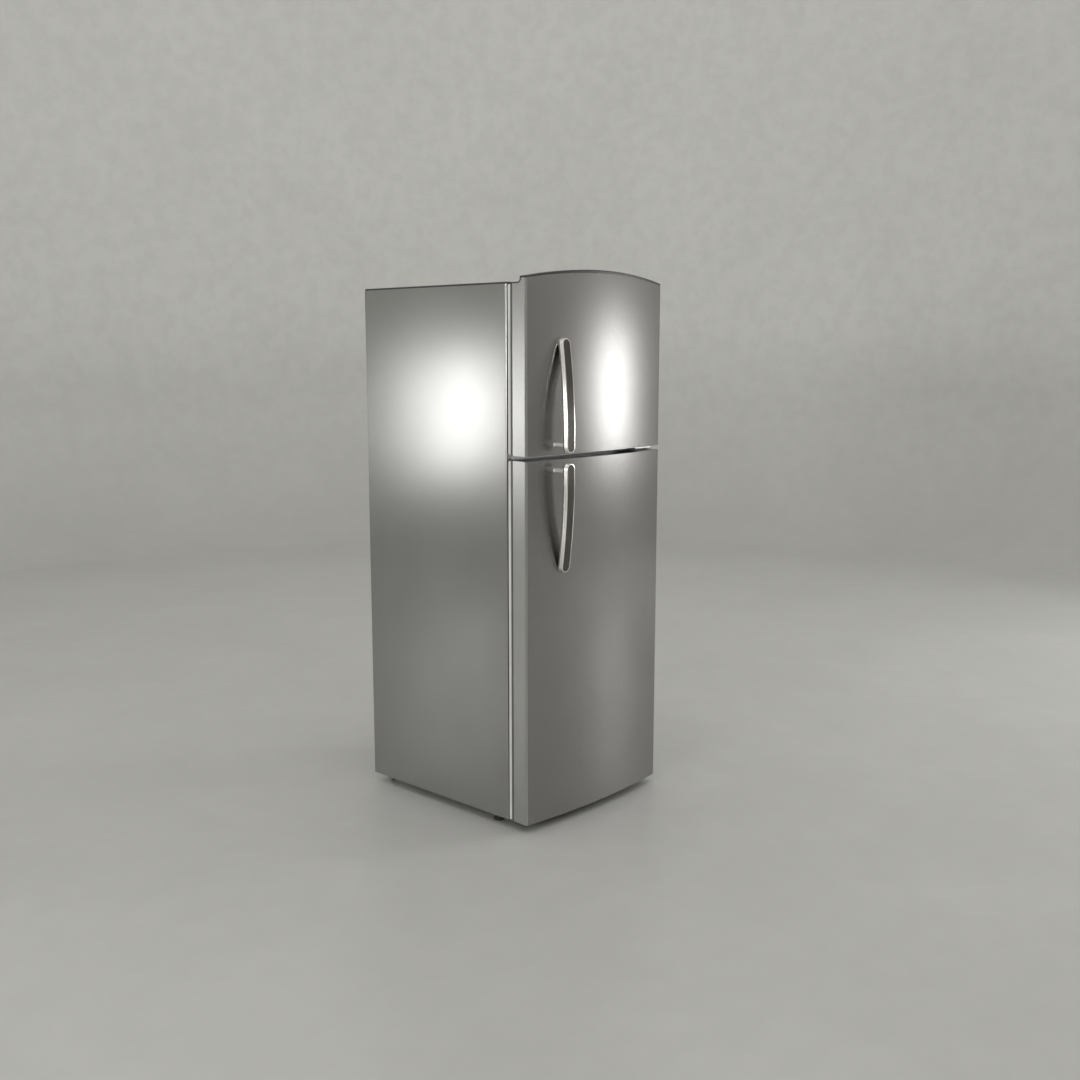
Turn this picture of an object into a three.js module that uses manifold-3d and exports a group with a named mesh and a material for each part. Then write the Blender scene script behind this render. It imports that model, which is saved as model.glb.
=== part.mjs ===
// A free-standing top freezer refrigerator: a foamed cabinet with two bowed doors on the
// right-hand hinges, its shelves, drawers, door bins, cooling circuit, feet and rollers.
// Millimetres, +Z up, front towards -Y. The origin is the middle of the footprint, on the floor.

import * as THREE from 'three';
import { mergeVertices } from 'three/addons/utils/BufferGeometryUtils.js';
import Module from 'manifold-3d';

const wasm = await Module();
wasm.setup();

// ---------------------------------------------------------------- driving dimensions
const HALF_WIDTH = 320;
const CABINET_DEPTH = 643;
const CABINET_HEIGHT = 1640;
const GROUND_GAP = 28;
const CONDENSER_PROUD = 32;
const GAP = 0.3; // clearance between pieces that touch

// handles; front is measured from the cabinet's face to the front of a bar
const HANDLE = {
  front: 151, left: -220, right: -185, thick: 17.3,
  length: 340, fromEdge: 6.5, bend: 46, bendFrom: 40, lean: 27,
};

const FRONT_Y = HANDLE.front - (CABINET_DEPTH + CONDENSER_PROUD + HANDLE.front) / 2;
const CABINET_TOP = GROUND_GAP + CABINET_HEIGHT;

// cabinet shell
const SHEET = 1.2;
const TOP_PANEL = 5;
const FLANGE = 1.5;
const LINER = 2;
const CAVITY_HALF = 280;
const CAVITY_DEPTH = 582;
const FRESH_FLOOR = 92;
const FRESH_TOP = 1128;
const FREEZER_FLOOR = 1182;
const FREEZER_TOP = 1618;
const MACHINE_DEPTH = 200;
const MACHINE_TOP = 250;
const HUMP_WALL = 40; // foam between the machine compartment and the fresh food space
const MULLION_Z = [1146.5, 1159.5];

// doors, measured from the cabinet's face: y is 0 there and falls towards the front
const FRESH_DOOR = { bottom: GROUND_GAP, height: 1119.6 };
const FREEZER_DOOR = { bottom: 1161.7, height: 500.3 };
const RIM_BACK = -15;
const RIM_FRONT = -21.8;
const TRIM_FRONT = -73.6;
const CORNER_Y = -79;
const CORNER_X = 314.6;
const BOW = 21;
const BOW_STEPS = 16;
const SKIN = 1.2;
const TRIM = 6;
const CAP = 20;
const RIDGE = { half: 270, inner: 222, proud: 18, rail: 22 };
const STEP_Y = -54; // where the arched cap of the upper door rises
const LOW_CAP = 4;
const SKIN_ABOVE = 15; // upper door's skin above the door body, at its corners
const SKIN_ARCH = 24;
const CAP_LIP = 5.4;
const CAP_ARCH = 28.3;

// hinges and their pins
const HINGE_X = 306;
const HINGE_Y = -38;
const PIN = 4;
const PIN_HOLE = 5;
const PIN_REACH = 14;

const POST = { left: -214, right: -191, height: 12, fromEnd: 25 };

// inside the cabinet, y from the cabinet's face
const SHELF_FRONT = 112;
const SHELF_BACK = 570;
const GLASS = 5;
const DRAWER = { inner: 3, outer: 236, front: 100, back: 395, bottom: 93, top: 330 };
const BIN = { half: 218, back: -12, front: 82, wall: 2.5 };
const FAN_Z = 1535;
const DIAL_X = 60;
const CONTROL_FRONT = 190;
const SWITCH = { x: 271, z: 1001, radius: 4, tip: 18.4, end: 46 };
const ROLLER = { radius: 13, width: 16, x: 275, y: 600, bore: 4.4 };
const FOOT = { x: 285, y: 75, radius: 18, stud: 5 };

// ---------------------------------------------------------------- materials
const metal = (color, roughness) =>
  new THREE.MeshStandardMaterial({ color, roughness, metalness: 0.9 });
const plastic = (color, roughness = 0.5) =>
  new THREE.MeshStandardMaterial({ color, roughness, metalness: 0 });
const clear = (color) =>
  new THREE.MeshStandardMaterial({ color, roughness: 0.1, transparent: true, opacity: 0.4 });

const finish = {
  skin: () => metal(0x9b9a96, 0.3),
  side: () => metal(0x878784, 0.35),
  trim: () => metal(0xb4b5b4, 0.3),
  cap: () => plastic(0x3c3d3c),
  zinc: () => metal(0xa8aaac, 0.4),
  handle: () => metal(0x5c5955, 0.35),
  gasket: () => plastic(0xb9b9b4, 0.7),
  liner: () => plastic(0xeceeee, 0.35),
  foam: () => plastic(0xd9c99a, 0.9),
  glass: () => clear(0xd5e6e2),
  bin: () => clear(0xe6eef0),
  dark: () => plastic(0x2a2b2c, 0.6),
  black: () => metal(0x1c1d1e, 0.5),
  fins: () => metal(0xc9ccce, 0.4),
};

// ---------------------------------------------------------------- shape helpers
const up = new THREE.Vector3(0, 0, 1);
const right = new THREE.Vector3(1, 0, 0);
const back = new THREE.Vector3(0, 1, 0);

function box([x0, x1], [y0, y1], [z0, z1]) {
  const block = new THREE.BoxGeometry(x1 - x0, y1 - y0, z1 - z0);
  return block.translate((x0 + x1) / 2, (y0 + y1) / 2, (z0 + z1) / 2);
}

// a cylinder along x, y or z, between two values of that axis, at the other two coordinates
function cylinder(axis, radius, [from, to], [u, v], sides = 24) {
  const rod = new THREE.CylinderGeometry(radius, radius, to - from, sides);
  const middle = (from + to) / 2;
  if (axis === 'x') return rod.rotateZ(-Math.PI / 2).translate(middle, u, v);
  if (axis === 'y') return rod.translate(u, middle, v);
  return rod.rotateX(Math.PI / 2).translate(u, v, middle);
}

function prism(points, depth) {
  const shape = new THREE.Shape(points.map(([u, v]) => new THREE.Vector2(u, v)));
  return new THREE.ExtrudeGeometry(shape, { depth, bevelEnabled: false, curveSegments: 12 });
}

const prismZ = (points, [z0, z1]) => prism(points, z1 - z0).translate(0, 0, z0);

function prismX(points, [x0, x1]) {
  const turn = new THREE.Matrix4().makeBasis(back, up, right);
  return prism(points, x1 - x0).applyMatrix4(turn).translate(x0, 0, 0);
}

function prismY(points, [y0, y1]) {
  const turn = new THREE.Matrix4().makeBasis(right, up, back.clone().negate());
  return prism(points, y1 - y0).applyMatrix4(turn).translate(0, y1, 0);
}

function solid(geometry) {
  if (geometry instanceof wasm.Manifold) return geometry;
  const plain = geometry.clone();
  plain.deleteAttribute('normal');
  plain.deleteAttribute('uv');
  const merged = mergeVertices(plain, 1e-4);
  return new wasm.Manifold(new wasm.Mesh({
    numProp: 3,
    vertProperties: new Float32Array(merged.attributes.position.array),
    triVerts: new Uint32Array(merged.index.array),
  }));
}

const join = (first, ...more) => more.reduce((sum, piece) => sum.add(solid(piece)), solid(first));
const cut = (base, ...tools) => tools.reduce((left, tool) => left.subtract(solid(tool)), solid(base));
const common = (first, second) => solid(first).intersect(solid(second));

function geometryOf(shape) {
  if (!(shape instanceof wasm.Manifold)) return shape;
  const { vertProperties, triVerts } = shape.getMesh();
  const geometry = new THREE.BufferGeometry();
  geometry.setAttribute('position', new THREE.BufferAttribute(vertProperties, 3));
  geometry.setIndex(new THREE.BufferAttribute(triVerts, 1));
  geometry.computeVertexNormals();
  return geometry;
}

function add(group, name, shape, material) {
  const mesh = new THREE.Mesh(geometryOf(shape), material());
  mesh.name = name;
  group.add(mesh);
}

const steps = (count, value) => Array.from({ length: count + 1 }, (_, i) => value(i / count));

// an open-topped container
function tray([x0, x1], [y0, y1], [z0, z1], wall) {
  return cut(
    box([x0, x1], [y0, y1], [z0, z1]),
    box([x0 + wall, x1 - wall], [y0 + wall, y1 - wall], [z0 + wall, z1 + wall]),
  );
}

// a rectangular ring that lies in the door's plane
function ring(outer, inner, [y0, y1]) {
  return cut(
    box([-outer.half, outer.half], [y0, y1], [outer.low, outer.high]),
    box([-inner.half, inner.half], [y0 - 1, y1 + 1], [inner.low, inner.high]),
  );
}

// ---------------------------------------------------------------- cabinet
const appliance = new THREE.Group();
const cabinet = new THREE.Group();
cabinet.position.set(0, FRONT_Y, 0);
appliance.add(cabinet);

function cavities(grow) {
  const freezer = box(
    [-CAVITY_HALF - grow, CAVITY_HALF + grow],
    [-1, CAVITY_DEPTH + grow],
    [FREEZER_FLOOR - grow, FREEZER_TOP + grow],
  );
  const humpFront = CABINET_DEPTH - MACHINE_DEPTH - HUMP_WALL + grow;
  const humpTop = MACHINE_TOP + HUMP_WALL - grow;
  const side = [
    [-1, FRESH_FLOOR - grow], [humpFront, FRESH_FLOOR - grow], [humpFront, humpTop],
    [CAVITY_DEPTH + grow, humpTop], [CAVITY_DEPTH + grow, FRESH_TOP + grow],
    [-1, FRESH_TOP + grow],
  ];
  const fresh = prismX(side, [-CAVITY_HALF - grow, CAVITY_HALF + grow]);
  return { freezer, fresh };
}

function cabinetShell() {
  const top = CABINET_TOP - TOP_PANEL - GAP;
  for (const [name, side] of [['left_side_panel', -1], ['right_side_panel', 1]]) {
    const across = [side * HALF_WIDTH, side * (HALF_WIDTH - SHEET)].sort((a, b) => a - b);
    add(cabinet, name, box(across, [0, CABINET_DEPTH], [GROUND_GAP, top]), finish.side);
  }
  const inner = HALF_WIDTH - SHEET - GAP;
  add(cabinet, 'top_panel',
    box([-HALF_WIDTH, HALF_WIDTH], [0, CABINET_DEPTH], [CABINET_TOP - TOP_PANEL, CABINET_TOP]),
    finish.cap);
  add(cabinet, 'back_panel',
    box([-inner, inner], [CABINET_DEPTH - SHEET, CABINET_DEPTH], [MACHINE_TOP, top]),
    finish.zinc);

  const { freezer, fresh } = cavities(0);
  const outerForm = cavities(LINER);
  const foamForm = cavities(LINER + GAP);
  const flange = (z0, z1) => box([-inner, inner], [0, FLANGE], [z0, z1]);
  const behindFace = box([-HALF_WIDTH, HALF_WIDTH], [0, CABINET_DEPTH], [0, CABINET_TOP]);
  add(cabinet, 'freezer_liner',
    cut(common(join(outerForm.freezer, flange(MULLION_Z[1] + GAP, top)), behindFace), freezer),
    finish.liner);
  const bore = SWITCH.radius + 0.6;
  const switchBoss = box([SWITCH.x - 9, CAVITY_HALF + 1], [25, 50], [SWITCH.z - 11, SWITCH.z + 11]);
  const freshShell = cut(
    common(join(outerForm.fresh, flange(GROUND_GAP + SHEET + GAP, MULLION_Z[0] - GAP)), behindFace),
    fresh,
  );
  add(cabinet, 'fresh_food_liner',
    cut(join(freshShell, switchBoss), cylinder('y', bore, [20, 55], [SWITCH.x, SWITCH.z])),
    finish.liner);

  const mullion = box([-inner, inner], [0, 20], MULLION_Z);
  add(cabinet, 'front_mullion', mullion, finish.zinc);
  const foamTop = top - GAP;
  const block = box([-inner + GAP, inner - GAP], [FLANGE + GAP, CABINET_DEPTH - SHEET - GAP],
    [GROUND_GAP + SHEET + GAP, foamTop]);
  const machineSpace = box([-HALF_WIDTH, HALF_WIDTH],
    [CABINET_DEPTH - MACHINE_DEPTH, CABINET_DEPTH + 1], [0, MACHINE_TOP - GAP]);
  const mullionSlot = box([-HALF_WIDTH, HALF_WIDTH], [0, 20 + GAP],
    [MULLION_Z[0] - GAP, MULLION_Z[1] + GAP]);
  const studHoles = [-1, 1].map((side) =>
    cylinder('z', FOOT.stud + 1, [0, 50], [side * FOOT.x, FOOT.y]));
  add(cabinet, 'cabinet_foam',
    cut(block, foamForm.freezer, foamForm.fresh, machineSpace, mullionSlot, ...studHoles),
    finish.foam);
}

function base() {
  const inner = HALF_WIDTH - SHEET - GAP;
  let pan = box([-inner, inner], [GAP, CABINET_DEPTH - GAP], [GROUND_GAP, GROUND_GAP + SHEET]);
  for (const side of [-1, 1]) {
    const x = side * ROLLER.x;
    const reach = ROLLER.width / 2 + 1;
    for (const ear of [-1, 1]) {
      const face = x + ear * (reach + 2);
      pan = join(pan, box([face - 2, face + 2], [ROLLER.y - 12, ROLLER.y + 12], [6, GROUND_GAP + 1]));
    }
    pan = join(pan, cylinder('x', PIN, [x - reach - 1, x + reach + 1], [ROLLER.y, ROLLER.radius]));
    pan = cut(pan, cylinder('z', FOOT.stud + 0.6, [0, 50], [side * FOOT.x, FOOT.y]));
  }
  add(cabinet, 'base_pan', pan, finish.zinc);
  for (const [name, side] of [['left', -1], ['right', 1]]) {
    const spot = [side * FOOT.x, FOOT.y];
    add(cabinet, `foot_${name}`,
      join(cylinder('z', FOOT.radius, [0, 8], spot, 8), cylinder('z', FOOT.stud, [7, 44], spot, 16)),
      finish.dark);
    const middle = side * ROLLER.x;
    const half = ROLLER.width / 2;
    const wheel = cylinder('x', ROLLER.radius, [middle - half, middle + half],
      [ROLLER.y, ROLLER.radius], 32);
    add(cabinet, `roller_${name}`,
      cut(wheel, cylinder('x', ROLLER.bore, [middle - 20, middle + 20], [ROLLER.y, ROLLER.radius])),
      finish.dark);
  }
}

function hinges() {
  const axis = [HINGE_X, HINGE_Y];
  const plateTop = CABINET_TOP + GAP;
  const armSide = [HINGE_X - 12, HINGE_X + 3];
  add(cabinet, 'top_hinge', join(
    box([228, armSide[1]], [4, 90], [plateTop, plateTop + 3]),
    box(armSide, [HINGE_Y, 5], [plateTop, plateTop + 3]),
    cylinder('z', 11, [plateTop, plateTop + 5], axis),
    cylinder('z', PIN, [FREEZER_DOOR.bottom + FREEZER_DOOR.height + LOW_CAP - PIN_REACH,
      plateTop + 1], axis),
  ), finish.zinc);
  const cover = box([222, HINGE_X + 3], [14, 98], [plateTop + 3 + GAP, CABINET_TOP + 20]);
  add(cabinet, 'top_hinge_cover',
    cut(cover, box([225, HINGE_X], [17, 95], [CABINET_TOP, CABINET_TOP + 17])), finish.cap);

  const middle = FREEZER_DOOR.bottom - 3.2;
  add(cabinet, 'centre_hinge', join(
    box([232, HINGE_X + 10], [HINGE_Y - 10, -GAP], [middle - 8, middle]),
    cylinder('z', PIN, [FREEZER_DOOR.bottom - 22, FREEZER_DOOR.bottom + PIN_REACH - 2], axis),
  ), finish.zinc);
  add(cabinet, 'bottom_hinge', join(
    box([240, HINGE_X + 10], [HINGE_Y - 10, 40], [19, 24]),
    box([240, HINGE_X + 10], [5, 40], [23, GROUND_GAP - GAP]),
    cylinder('z', PIN, [20, GROUND_GAP + PIN_REACH - 2], axis),
  ), finish.zinc);
}

// ---------------------------------------------------------------- fittings inside the cabinet
function shelves() {
  const half = CAVITY_HALF - 3;
  const plate = (z, y0 = SHELF_FRONT) => box([-half, half], [y0, SHELF_BACK], [z, z + GLASS]);
  add(cabinet, 'upper_shelf', plate(805), finish.glass);
  add(cabinet, 'lower_shelf', plate(572), finish.glass);
  add(cabinet, 'crisper_cover', plate(DRAWER.top + 6), finish.glass);
  add(cabinet, 'freezer_shelf', box([-half, half], [SHELF_FRONT, 510], [1395, 1400]), finish.glass);
  add(cabinet, 'ice_bin', tray([-270, -60], [120, 400], [FREEZER_FLOOR + GAP, 1290], 2.5), finish.bin);
  for (const [name, side] of [['left', -1], ['right', 1]]) {
    const across = [side * DRAWER.inner, side * DRAWER.outer].sort((a, b) => a - b);
    add(cabinet, `crisper_${name}`,
      tray(across, [DRAWER.front, DRAWER.back], [DRAWER.bottom, DRAWER.top], 3), finish.bin);
  }
}

function controls() {
  const bottom = 1070;
  add(cabinet, 'control_housing',
    box([-110, 110], [CONTROL_FRONT, 300], [bottom, FRESH_TOP - GAP]), finish.liner);
  add(cabinet, 'lamp_cover', box([-60, 60], [108, 160], [1112, FRESH_TOP - GAP]), finish.bin);
  const faceY = CONTROL_FRONT - GAP;
  const dialZ = 1098;
  add(cabinet, 'thermostat_dial', join(
    cylinder('y', 20, [faceY - 8, faceY], [DIAL_X, dialZ]),
    box([DIAL_X - 3, DIAL_X + 3], [faceY - 17, faceY - 7], [dialZ - 18, dialZ + 18]),
  ), finish.dark);
  add(cabinet, 'air_slider', box([-DIAL_X - 8, -DIAL_X + 8], [faceY - 7, faceY],
    [dialZ - 5, dialZ + 5]), finish.dark);
  add(cabinet, 'light_switch',
    cylinder('y', SWITCH.radius, [SWITCH.tip, SWITCH.end], [SWITCH.x, SWITCH.z], 16), finish.dark);
}

function cooling() {
  const coverBack = 523;
  const grille = cut(
    box([-277, 277], [coverBack - 3, coverBack], [FREEZER_FLOOR + 1, FREEZER_TOP - 1]),
    cut(cylinder('y', 52, [coverBack - 10, coverBack + 10], [0, FAN_Z]),
      ...[-30, 0, 30].map((z) => box([-60, 60], [coverBack - 20, coverBack + 20],
        [FAN_Z + z - 2.5, FAN_Z + z + 2.5]))),
    ...[0, 1, 2].map((row) => box([-200, 200], [coverBack - 20, coverBack + 20],
      [FREEZER_FLOOR + 18 + row * 14, FREEZER_FLOOR + 25 + row * 14])),
  );
  add(cabinet, 'evaporator_cover', grille, finish.liner);

  const blades = Array.from({ length: 5 }, (_, i) => box([-10, 10], [-1.2, 1.2], [12, 46])
    .rotateZ(0.6).rotateY(i * Math.PI * 2 / 5));
  const fan = join(cylinder('y', 18, [-9, 9], [0, 0]), ...blades)
    .translate([0, coverBack + 24, FAN_Z]);
  add(cabinet, 'evaporator_fan', fan, finish.dark);

  const fins = Array.from({ length: 23 }, (_, i) => -220 + i * 20);
  add(cabinet, 'evaporator', join(
    box([-221, 221], [552, 560], [1240, 1420]),
    ...fins.map((x) => box([x - 0.8, x + 0.8], [538, 574], [1230, 1430])),
  ), finish.fins);

  const potRadius = 80;
  const profile = [
    [0, 0], [62, 0], [potRadius, 14], [potRadius, 100], [70, 130], [44, 148], [0, 152],
  ].map(([r, z]) => new THREE.Vector2(r, z));
  const machineFloor = GROUND_GAP + SHEET + GAP;
  const pot = new THREE.LatheGeometry(profile, 28).rotateX(Math.PI / 2)
    .translate(-150, 545, machineFloor + 12);
  add(cabinet, 'compressor', join(pot, box([-245, -55], [480, 610], [machineFloor, machineFloor + 14])),
    finish.black);
  add(cabinet, 'drain_pan', tray([20, 260], [460, 625], [machineFloor, machineFloor + 45], 2),
    finish.dark);

  condenser();
}

// a serpentine tube clipped to upright straps, standing off the back panel
function condenser() {
  const tube = 2.5;
  const y = CABINET_DEPTH + CONDENSER_PROUD - tube;
  const half = 230;
  const pitch = 60;
  const rows = 18;
  const lowest = 420;
  const route = new THREE.CurvePath();
  for (let row = 0; row < rows; row += 1) {
    const z = lowest + row * pitch;
    const side = row % 2 ? -1 : 1;
    route.add(new THREE.LineCurve3(new THREE.Vector3(-side * half, y, z),
      new THREE.Vector3(side * half, y, z)));
    if (row === rows - 1) continue;
    const corner = side * (half + pitch * 0.66);
    route.add(new THREE.CubicBezierCurve3(
      new THREE.Vector3(side * half, y, z), new THREE.Vector3(corner, y, z),
      new THREE.Vector3(corner, y, z + pitch), new THREE.Vector3(side * half, y, z + pitch)));
  }
  const sides = 6;
  const section = new THREE.Shape(Array.from({ length: sides }, (_, i) => new THREE.Vector2(
    tube * Math.cos(i * Math.PI * 2 / sides), tube * Math.sin(i * Math.PI * 2 / sides))));
  const runs = route.curves.map((curve) => new THREE.ExtrudeGeometry(section, {
    steps: curve instanceof THREE.LineCurve3 ? 1 : 5, extrudePath: curve, bevelEnabled: false }));
  const strapTop = lowest + (rows - 1) * pitch + 20;
  const straps = [-200, 0, 200].map((x) =>
    box([x - 8, x + 8], [y - tube - 0.4, y - tube + 1.1], [lowest - 20, strapTop]));
  const blocks = [-200, 200].flatMap((x) => [lowest, strapTop - 40].map((z) =>
    box([x - 8, x + 8], [CABINET_DEPTH + GAP, y - tube], [z, z + 20])));
  add(cabinet, 'condenser', join(...runs, ...straps, ...blocks), finish.black);
}

// ---------------------------------------------------------------- doors
const bowY = (x) => CORNER_Y - BOW * (1 - (x / CORNER_X) ** 2);
const frontLine = (half, inset) =>
  steps(BOW_STEPS, (t) => [half * (2 * t - 1), bowY(half * (2 * t - 1)) + inset]);

// plan of the whole door, from backY to its bowed front
function outerPlan(backY) {
  return [[-HALF_WIDTH, backY], [-HALF_WIDTH, TRIM_FRONT], ...frontLine(CORNER_X, 0),
    [HALF_WIDTH, TRIM_FRONT], [HALF_WIDTH, backY]];
}

// plan of what the skin and the side trims enclose
function innerPlan(backY, half) {
  const y = TRIM_FRONT + GAP;
  const shoulder = Math.min(half - 0.5, CORNER_X + 1.5);
  return [[-half, backY], [-half, y], [-shoulder, y], ...frontLine(CORNER_X - 3, SKIN + GAP),
    [shoulder, y], [half, y], [half, backY]];
}

function skinPlan() {
  const outside = [[-HALF_WIDTH, TRIM_FRONT], ...frontLine(CORNER_X, 0), [HALF_WIDTH, TRIM_FRONT]];
  const inside = [[-HALF_WIDTH + 1.8, TRIM_FRONT], ...frontLine(CORNER_X - 0.6, SKIN),
    [HALF_WIDTH - 1.8, TRIM_FRONT]];
  return [...outside, ...inside.reverse()];
}

// everything below an arch that rises from edge to edge + rise
function archOutline(low, edge, rise) {
  const line = steps(BOW_STEPS, (t) => [HALF_WIDTH * (2 * t - 1), edge + rise * (1 - (2 * t - 1) ** 2)]);
  return [[-HALF_WIDTH, low], ...line, [HALF_WIDTH, low]];
}

function plainCap(z0, z1, hole) {
  return cut(prismZ(innerPlan(RIM_FRONT - GAP, HALF_WIDTH - TRIM - GAP), [z0, z1]),
    cylinder('z', PIN_HOLE, hole, [HINGE_X, HINGE_Y]));
}

// the upper door's top: a low rear ledge, then a step up to the arched front lip
function archedCap(height) {
  const half = HALF_WIDTH - TRIM - GAP;
  const ledgeTop = height + LOW_CAP;
  const skinEdge = height + SKIN_ABOVE;
  const plug = prismZ(innerPlan(RIM_FRONT - GAP, half), [height - CAP + LOW_CAP, ledgeTop]);
  const ledge = box([-HALF_WIDTH, HALF_WIDTH], [STEP_Y - 1, RIM_BACK], [height + GAP, ledgeTop]);
  const behindSkin = common(prismZ(innerPlan(STEP_Y, HALF_WIDTH), [height + GAP, height + 80]),
    prismY(archOutline(height, skinEdge + GAP * 2, SKIN_ARCH), [-120, 0]));
  const crest = cut(
    common(prismZ(outerPlan(STEP_Y), [height + GAP, height + 80]),
      prismY(archOutline(height, skinEdge + CAP_LIP, CAP_ARCH), [-120, 0])),
    prismY(archOutline(height - 1, skinEdge + GAP, SKIN_ARCH), [-120, 0]),
  );
  return cut(join(plug, ledge, behindSkin, crest),
    cylinder('z', PIN_HOLE, [ledgeTop - PIN_REACH - 2, ledgeTop + 1], [HINGE_X, HINGE_Y]));
}

// the vacuum-formed back of a door: a flat flange with a raised ridge all round
function doorBack(height, ridge) {
  const depth = LINER + GAP;
  const plate = box([-HALF_WIDTH + 3, HALF_WIDTH - 3], [RIM_FRONT + GAP, RIM_BACK], [0, height]);
  const raised = ring({ half: RIDGE.half, low: ridge[0], high: ridge[1] },
    { half: RIDGE.inner, low: ridge[0] + RIDGE.rail, high: ridge[1] - RIDGE.rail },
    [RIM_BACK - 1, RIDGE.proud]);
  const pocket = box([-HALF_WIDTH + 5, HALF_WIDTH - 5], [RIM_FRONT - 1, RIM_BACK - LINER],
    [LINER, height - LINER]);
  const hollow = (inset) => ring(
    { half: RIDGE.half - inset, low: ridge[0] + inset, high: ridge[1] - inset },
    { half: RIDGE.inner + inset, low: ridge[0] + RIDGE.rail - inset,
      high: ridge[1] - RIDGE.rail + inset },
    [RIM_BACK - LINER - 1, RIDGE.proud - inset]);
  return { liner: cut(join(plate, raised), pocket, hollow(LINER)), fill: hollow(depth) };
}

function doorGasket(height) {
  const edge = (half, inset, width) => [{ half, low: inset, high: height - inset },
    { half: half - width, low: inset + width, high: height - inset - width }];
  const lip = ring(...edge(316, 4, 20), [RIM_BACK + GAP, -3.6]);
  const bulb = ring(...edge(311, 9, 11), [-4, -0.6]);
  return join(lip, bulb);
}

// how far along its bend a handle bar is, from 0 near the post to 1 where it meets the door
const bendShare = (s) => Math.max(0, (s - HANDLE.bendFrom) / (HANDLE.length - HANDLE.bendFrom)) ** 2;

// a bar that curves in to the door, and leans towards its middle, as it leaves its post;
// away is +1 when that end is the upper one
function doorHandle(group, prefix, nearZ, away) {
  const frontY = (s) => -HANDLE.front + HANDLE.bend * bendShare(s);
  const stations = steps(12, (t) => t * HANDLE.length);
  const outline = [
    ...stations.map((s) => [frontY(s), nearZ + away * s]),
    ...stations.reverse().map((s) => [frontY(s) + HANDLE.thick, nearZ + away * s]),
  ];
  const radius = (HANDLE.right - HANDLE.left) / 2;
  const middle = HANDLE.left + radius;
  const [lowEnd, highEnd] = [radius, HANDLE.length - radius]
    .map((s) => nearZ + away * s).sort((a, b) => a - b);
  const arc = (z, side) => steps(10, (t) => [
    middle - side * radius * Math.cos(Math.PI * t), z - side * radius * Math.sin(Math.PI * t)]);
  const stadium = prismY([...arc(lowEnd, 1), ...arc(highEnd, -1)], [-200, 0]);
  const side = prismX(away > 0 ? outline : outline.reverse(), [HANDLE.left, HANDLE.right]);

  const bar = geometryOf(common(side, stadium));
  const place = bar.attributes.position;
  for (let i = 0; i < place.count; i += 1) {
    const share = bendShare(away * (place.getZ(i) - nearZ));
    place.setX(i, place.getX(i) + HANDLE.lean * share);
  }
  const body = prismZ(outerPlan(-40).map(([x, y]) => [x, y - GAP]), [-10, 2000]);
  add(group, `${prefix}_handle_bar`, cut(bar, body), finish.handle);

  const postZ = nearZ + away * POST.fromEnd;
  const post = box([POST.left, POST.right], [-HANDLE.front + HANDLE.thick + GAP, -70],
    [postZ - POST.height / 2, postZ + POST.height / 2]);
  add(group, `${prefix}_handle_post`, cut(post, body), finish.handle);
}

function doorShell(group, prefix, height, arched, ridge) {
  const frontHeight = height + (arched ? SKIN_ABOVE + SKIN_ARCH + 1 : 0);
  const skin = prismZ(skinPlan(), [0, frontHeight]);
  const underArch = prismY(archOutline(-1, height + SKIN_ABOVE, SKIN_ARCH), [-120, 0]);
  add(group, `${prefix}_front_panel`, arched ? common(skin, underArch) : skin, finish.skin);
  for (const [name, side] of [['left', -1], ['right', 1]]) {
    const across = [side * HALF_WIDTH, side * (HALF_WIDTH - TRIM)].sort((a, b) => a - b);
    add(group, `${prefix}_${name}_trim`,
      box(across, [TRIM_FRONT + GAP, RIM_FRONT], [0, height]), finish.trim);
  }
  add(group, `${prefix}_bottom_cap`, plainCap(0, CAP, [-1, PIN_REACH]), finish.cap);
  const top = arched ? archedCap(height) : plainCap(height - CAP, height,
    [height - PIN_REACH, height + 1]);
  add(group, `${prefix}_top_cap`, top, finish.cap);

  const { liner, fill } = doorBack(height, ridge);
  add(group, `${prefix}_liner`, liner, finish.liner);
  const foamZ = [CAP + GAP, height - CAP - GAP];
  const core = prismZ(innerPlan(RIM_FRONT + 1, HALF_WIDTH - TRIM - GAP), foamZ);
  const backing = box([-HALF_WIDTH + 5.3, HALF_WIDTH - 5.3],
    [RIM_FRONT + GAP, RIM_BACK - LINER - GAP], [LINER + GAP, height - LINER - GAP]);
  const betweenCaps = box([-HALF_WIDTH, HALF_WIDTH], [-150, 50], foamZ);
  add(group, `${prefix}_foam`, common(join(core, backing, fill), betweenCaps), finish.foam);
  add(group, `${prefix}_gasket`, doorGasket(height), finish.gasket);
}

function doorBin(group, name, low, high) {
  add(group, name,
    tray([-BIN.half, BIN.half], [BIN.back, BIN.front], [low, high], BIN.wall), finish.bin);
}

function freezerDoor() {
  const group = new THREE.Group();
  group.position.set(0, FRONT_Y, FREEZER_DOOR.bottom);
  const ridge = [27, 450];
  doorShell(group, 'freezer_door', FREEZER_DOOR.height, true, ridge);
  doorHandle(group, 'freezer_door', HANDLE.fromEdge, 1);
  doorBin(group, 'freezer_door_bin', 150, 245);
  appliance.add(group);
}

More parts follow.
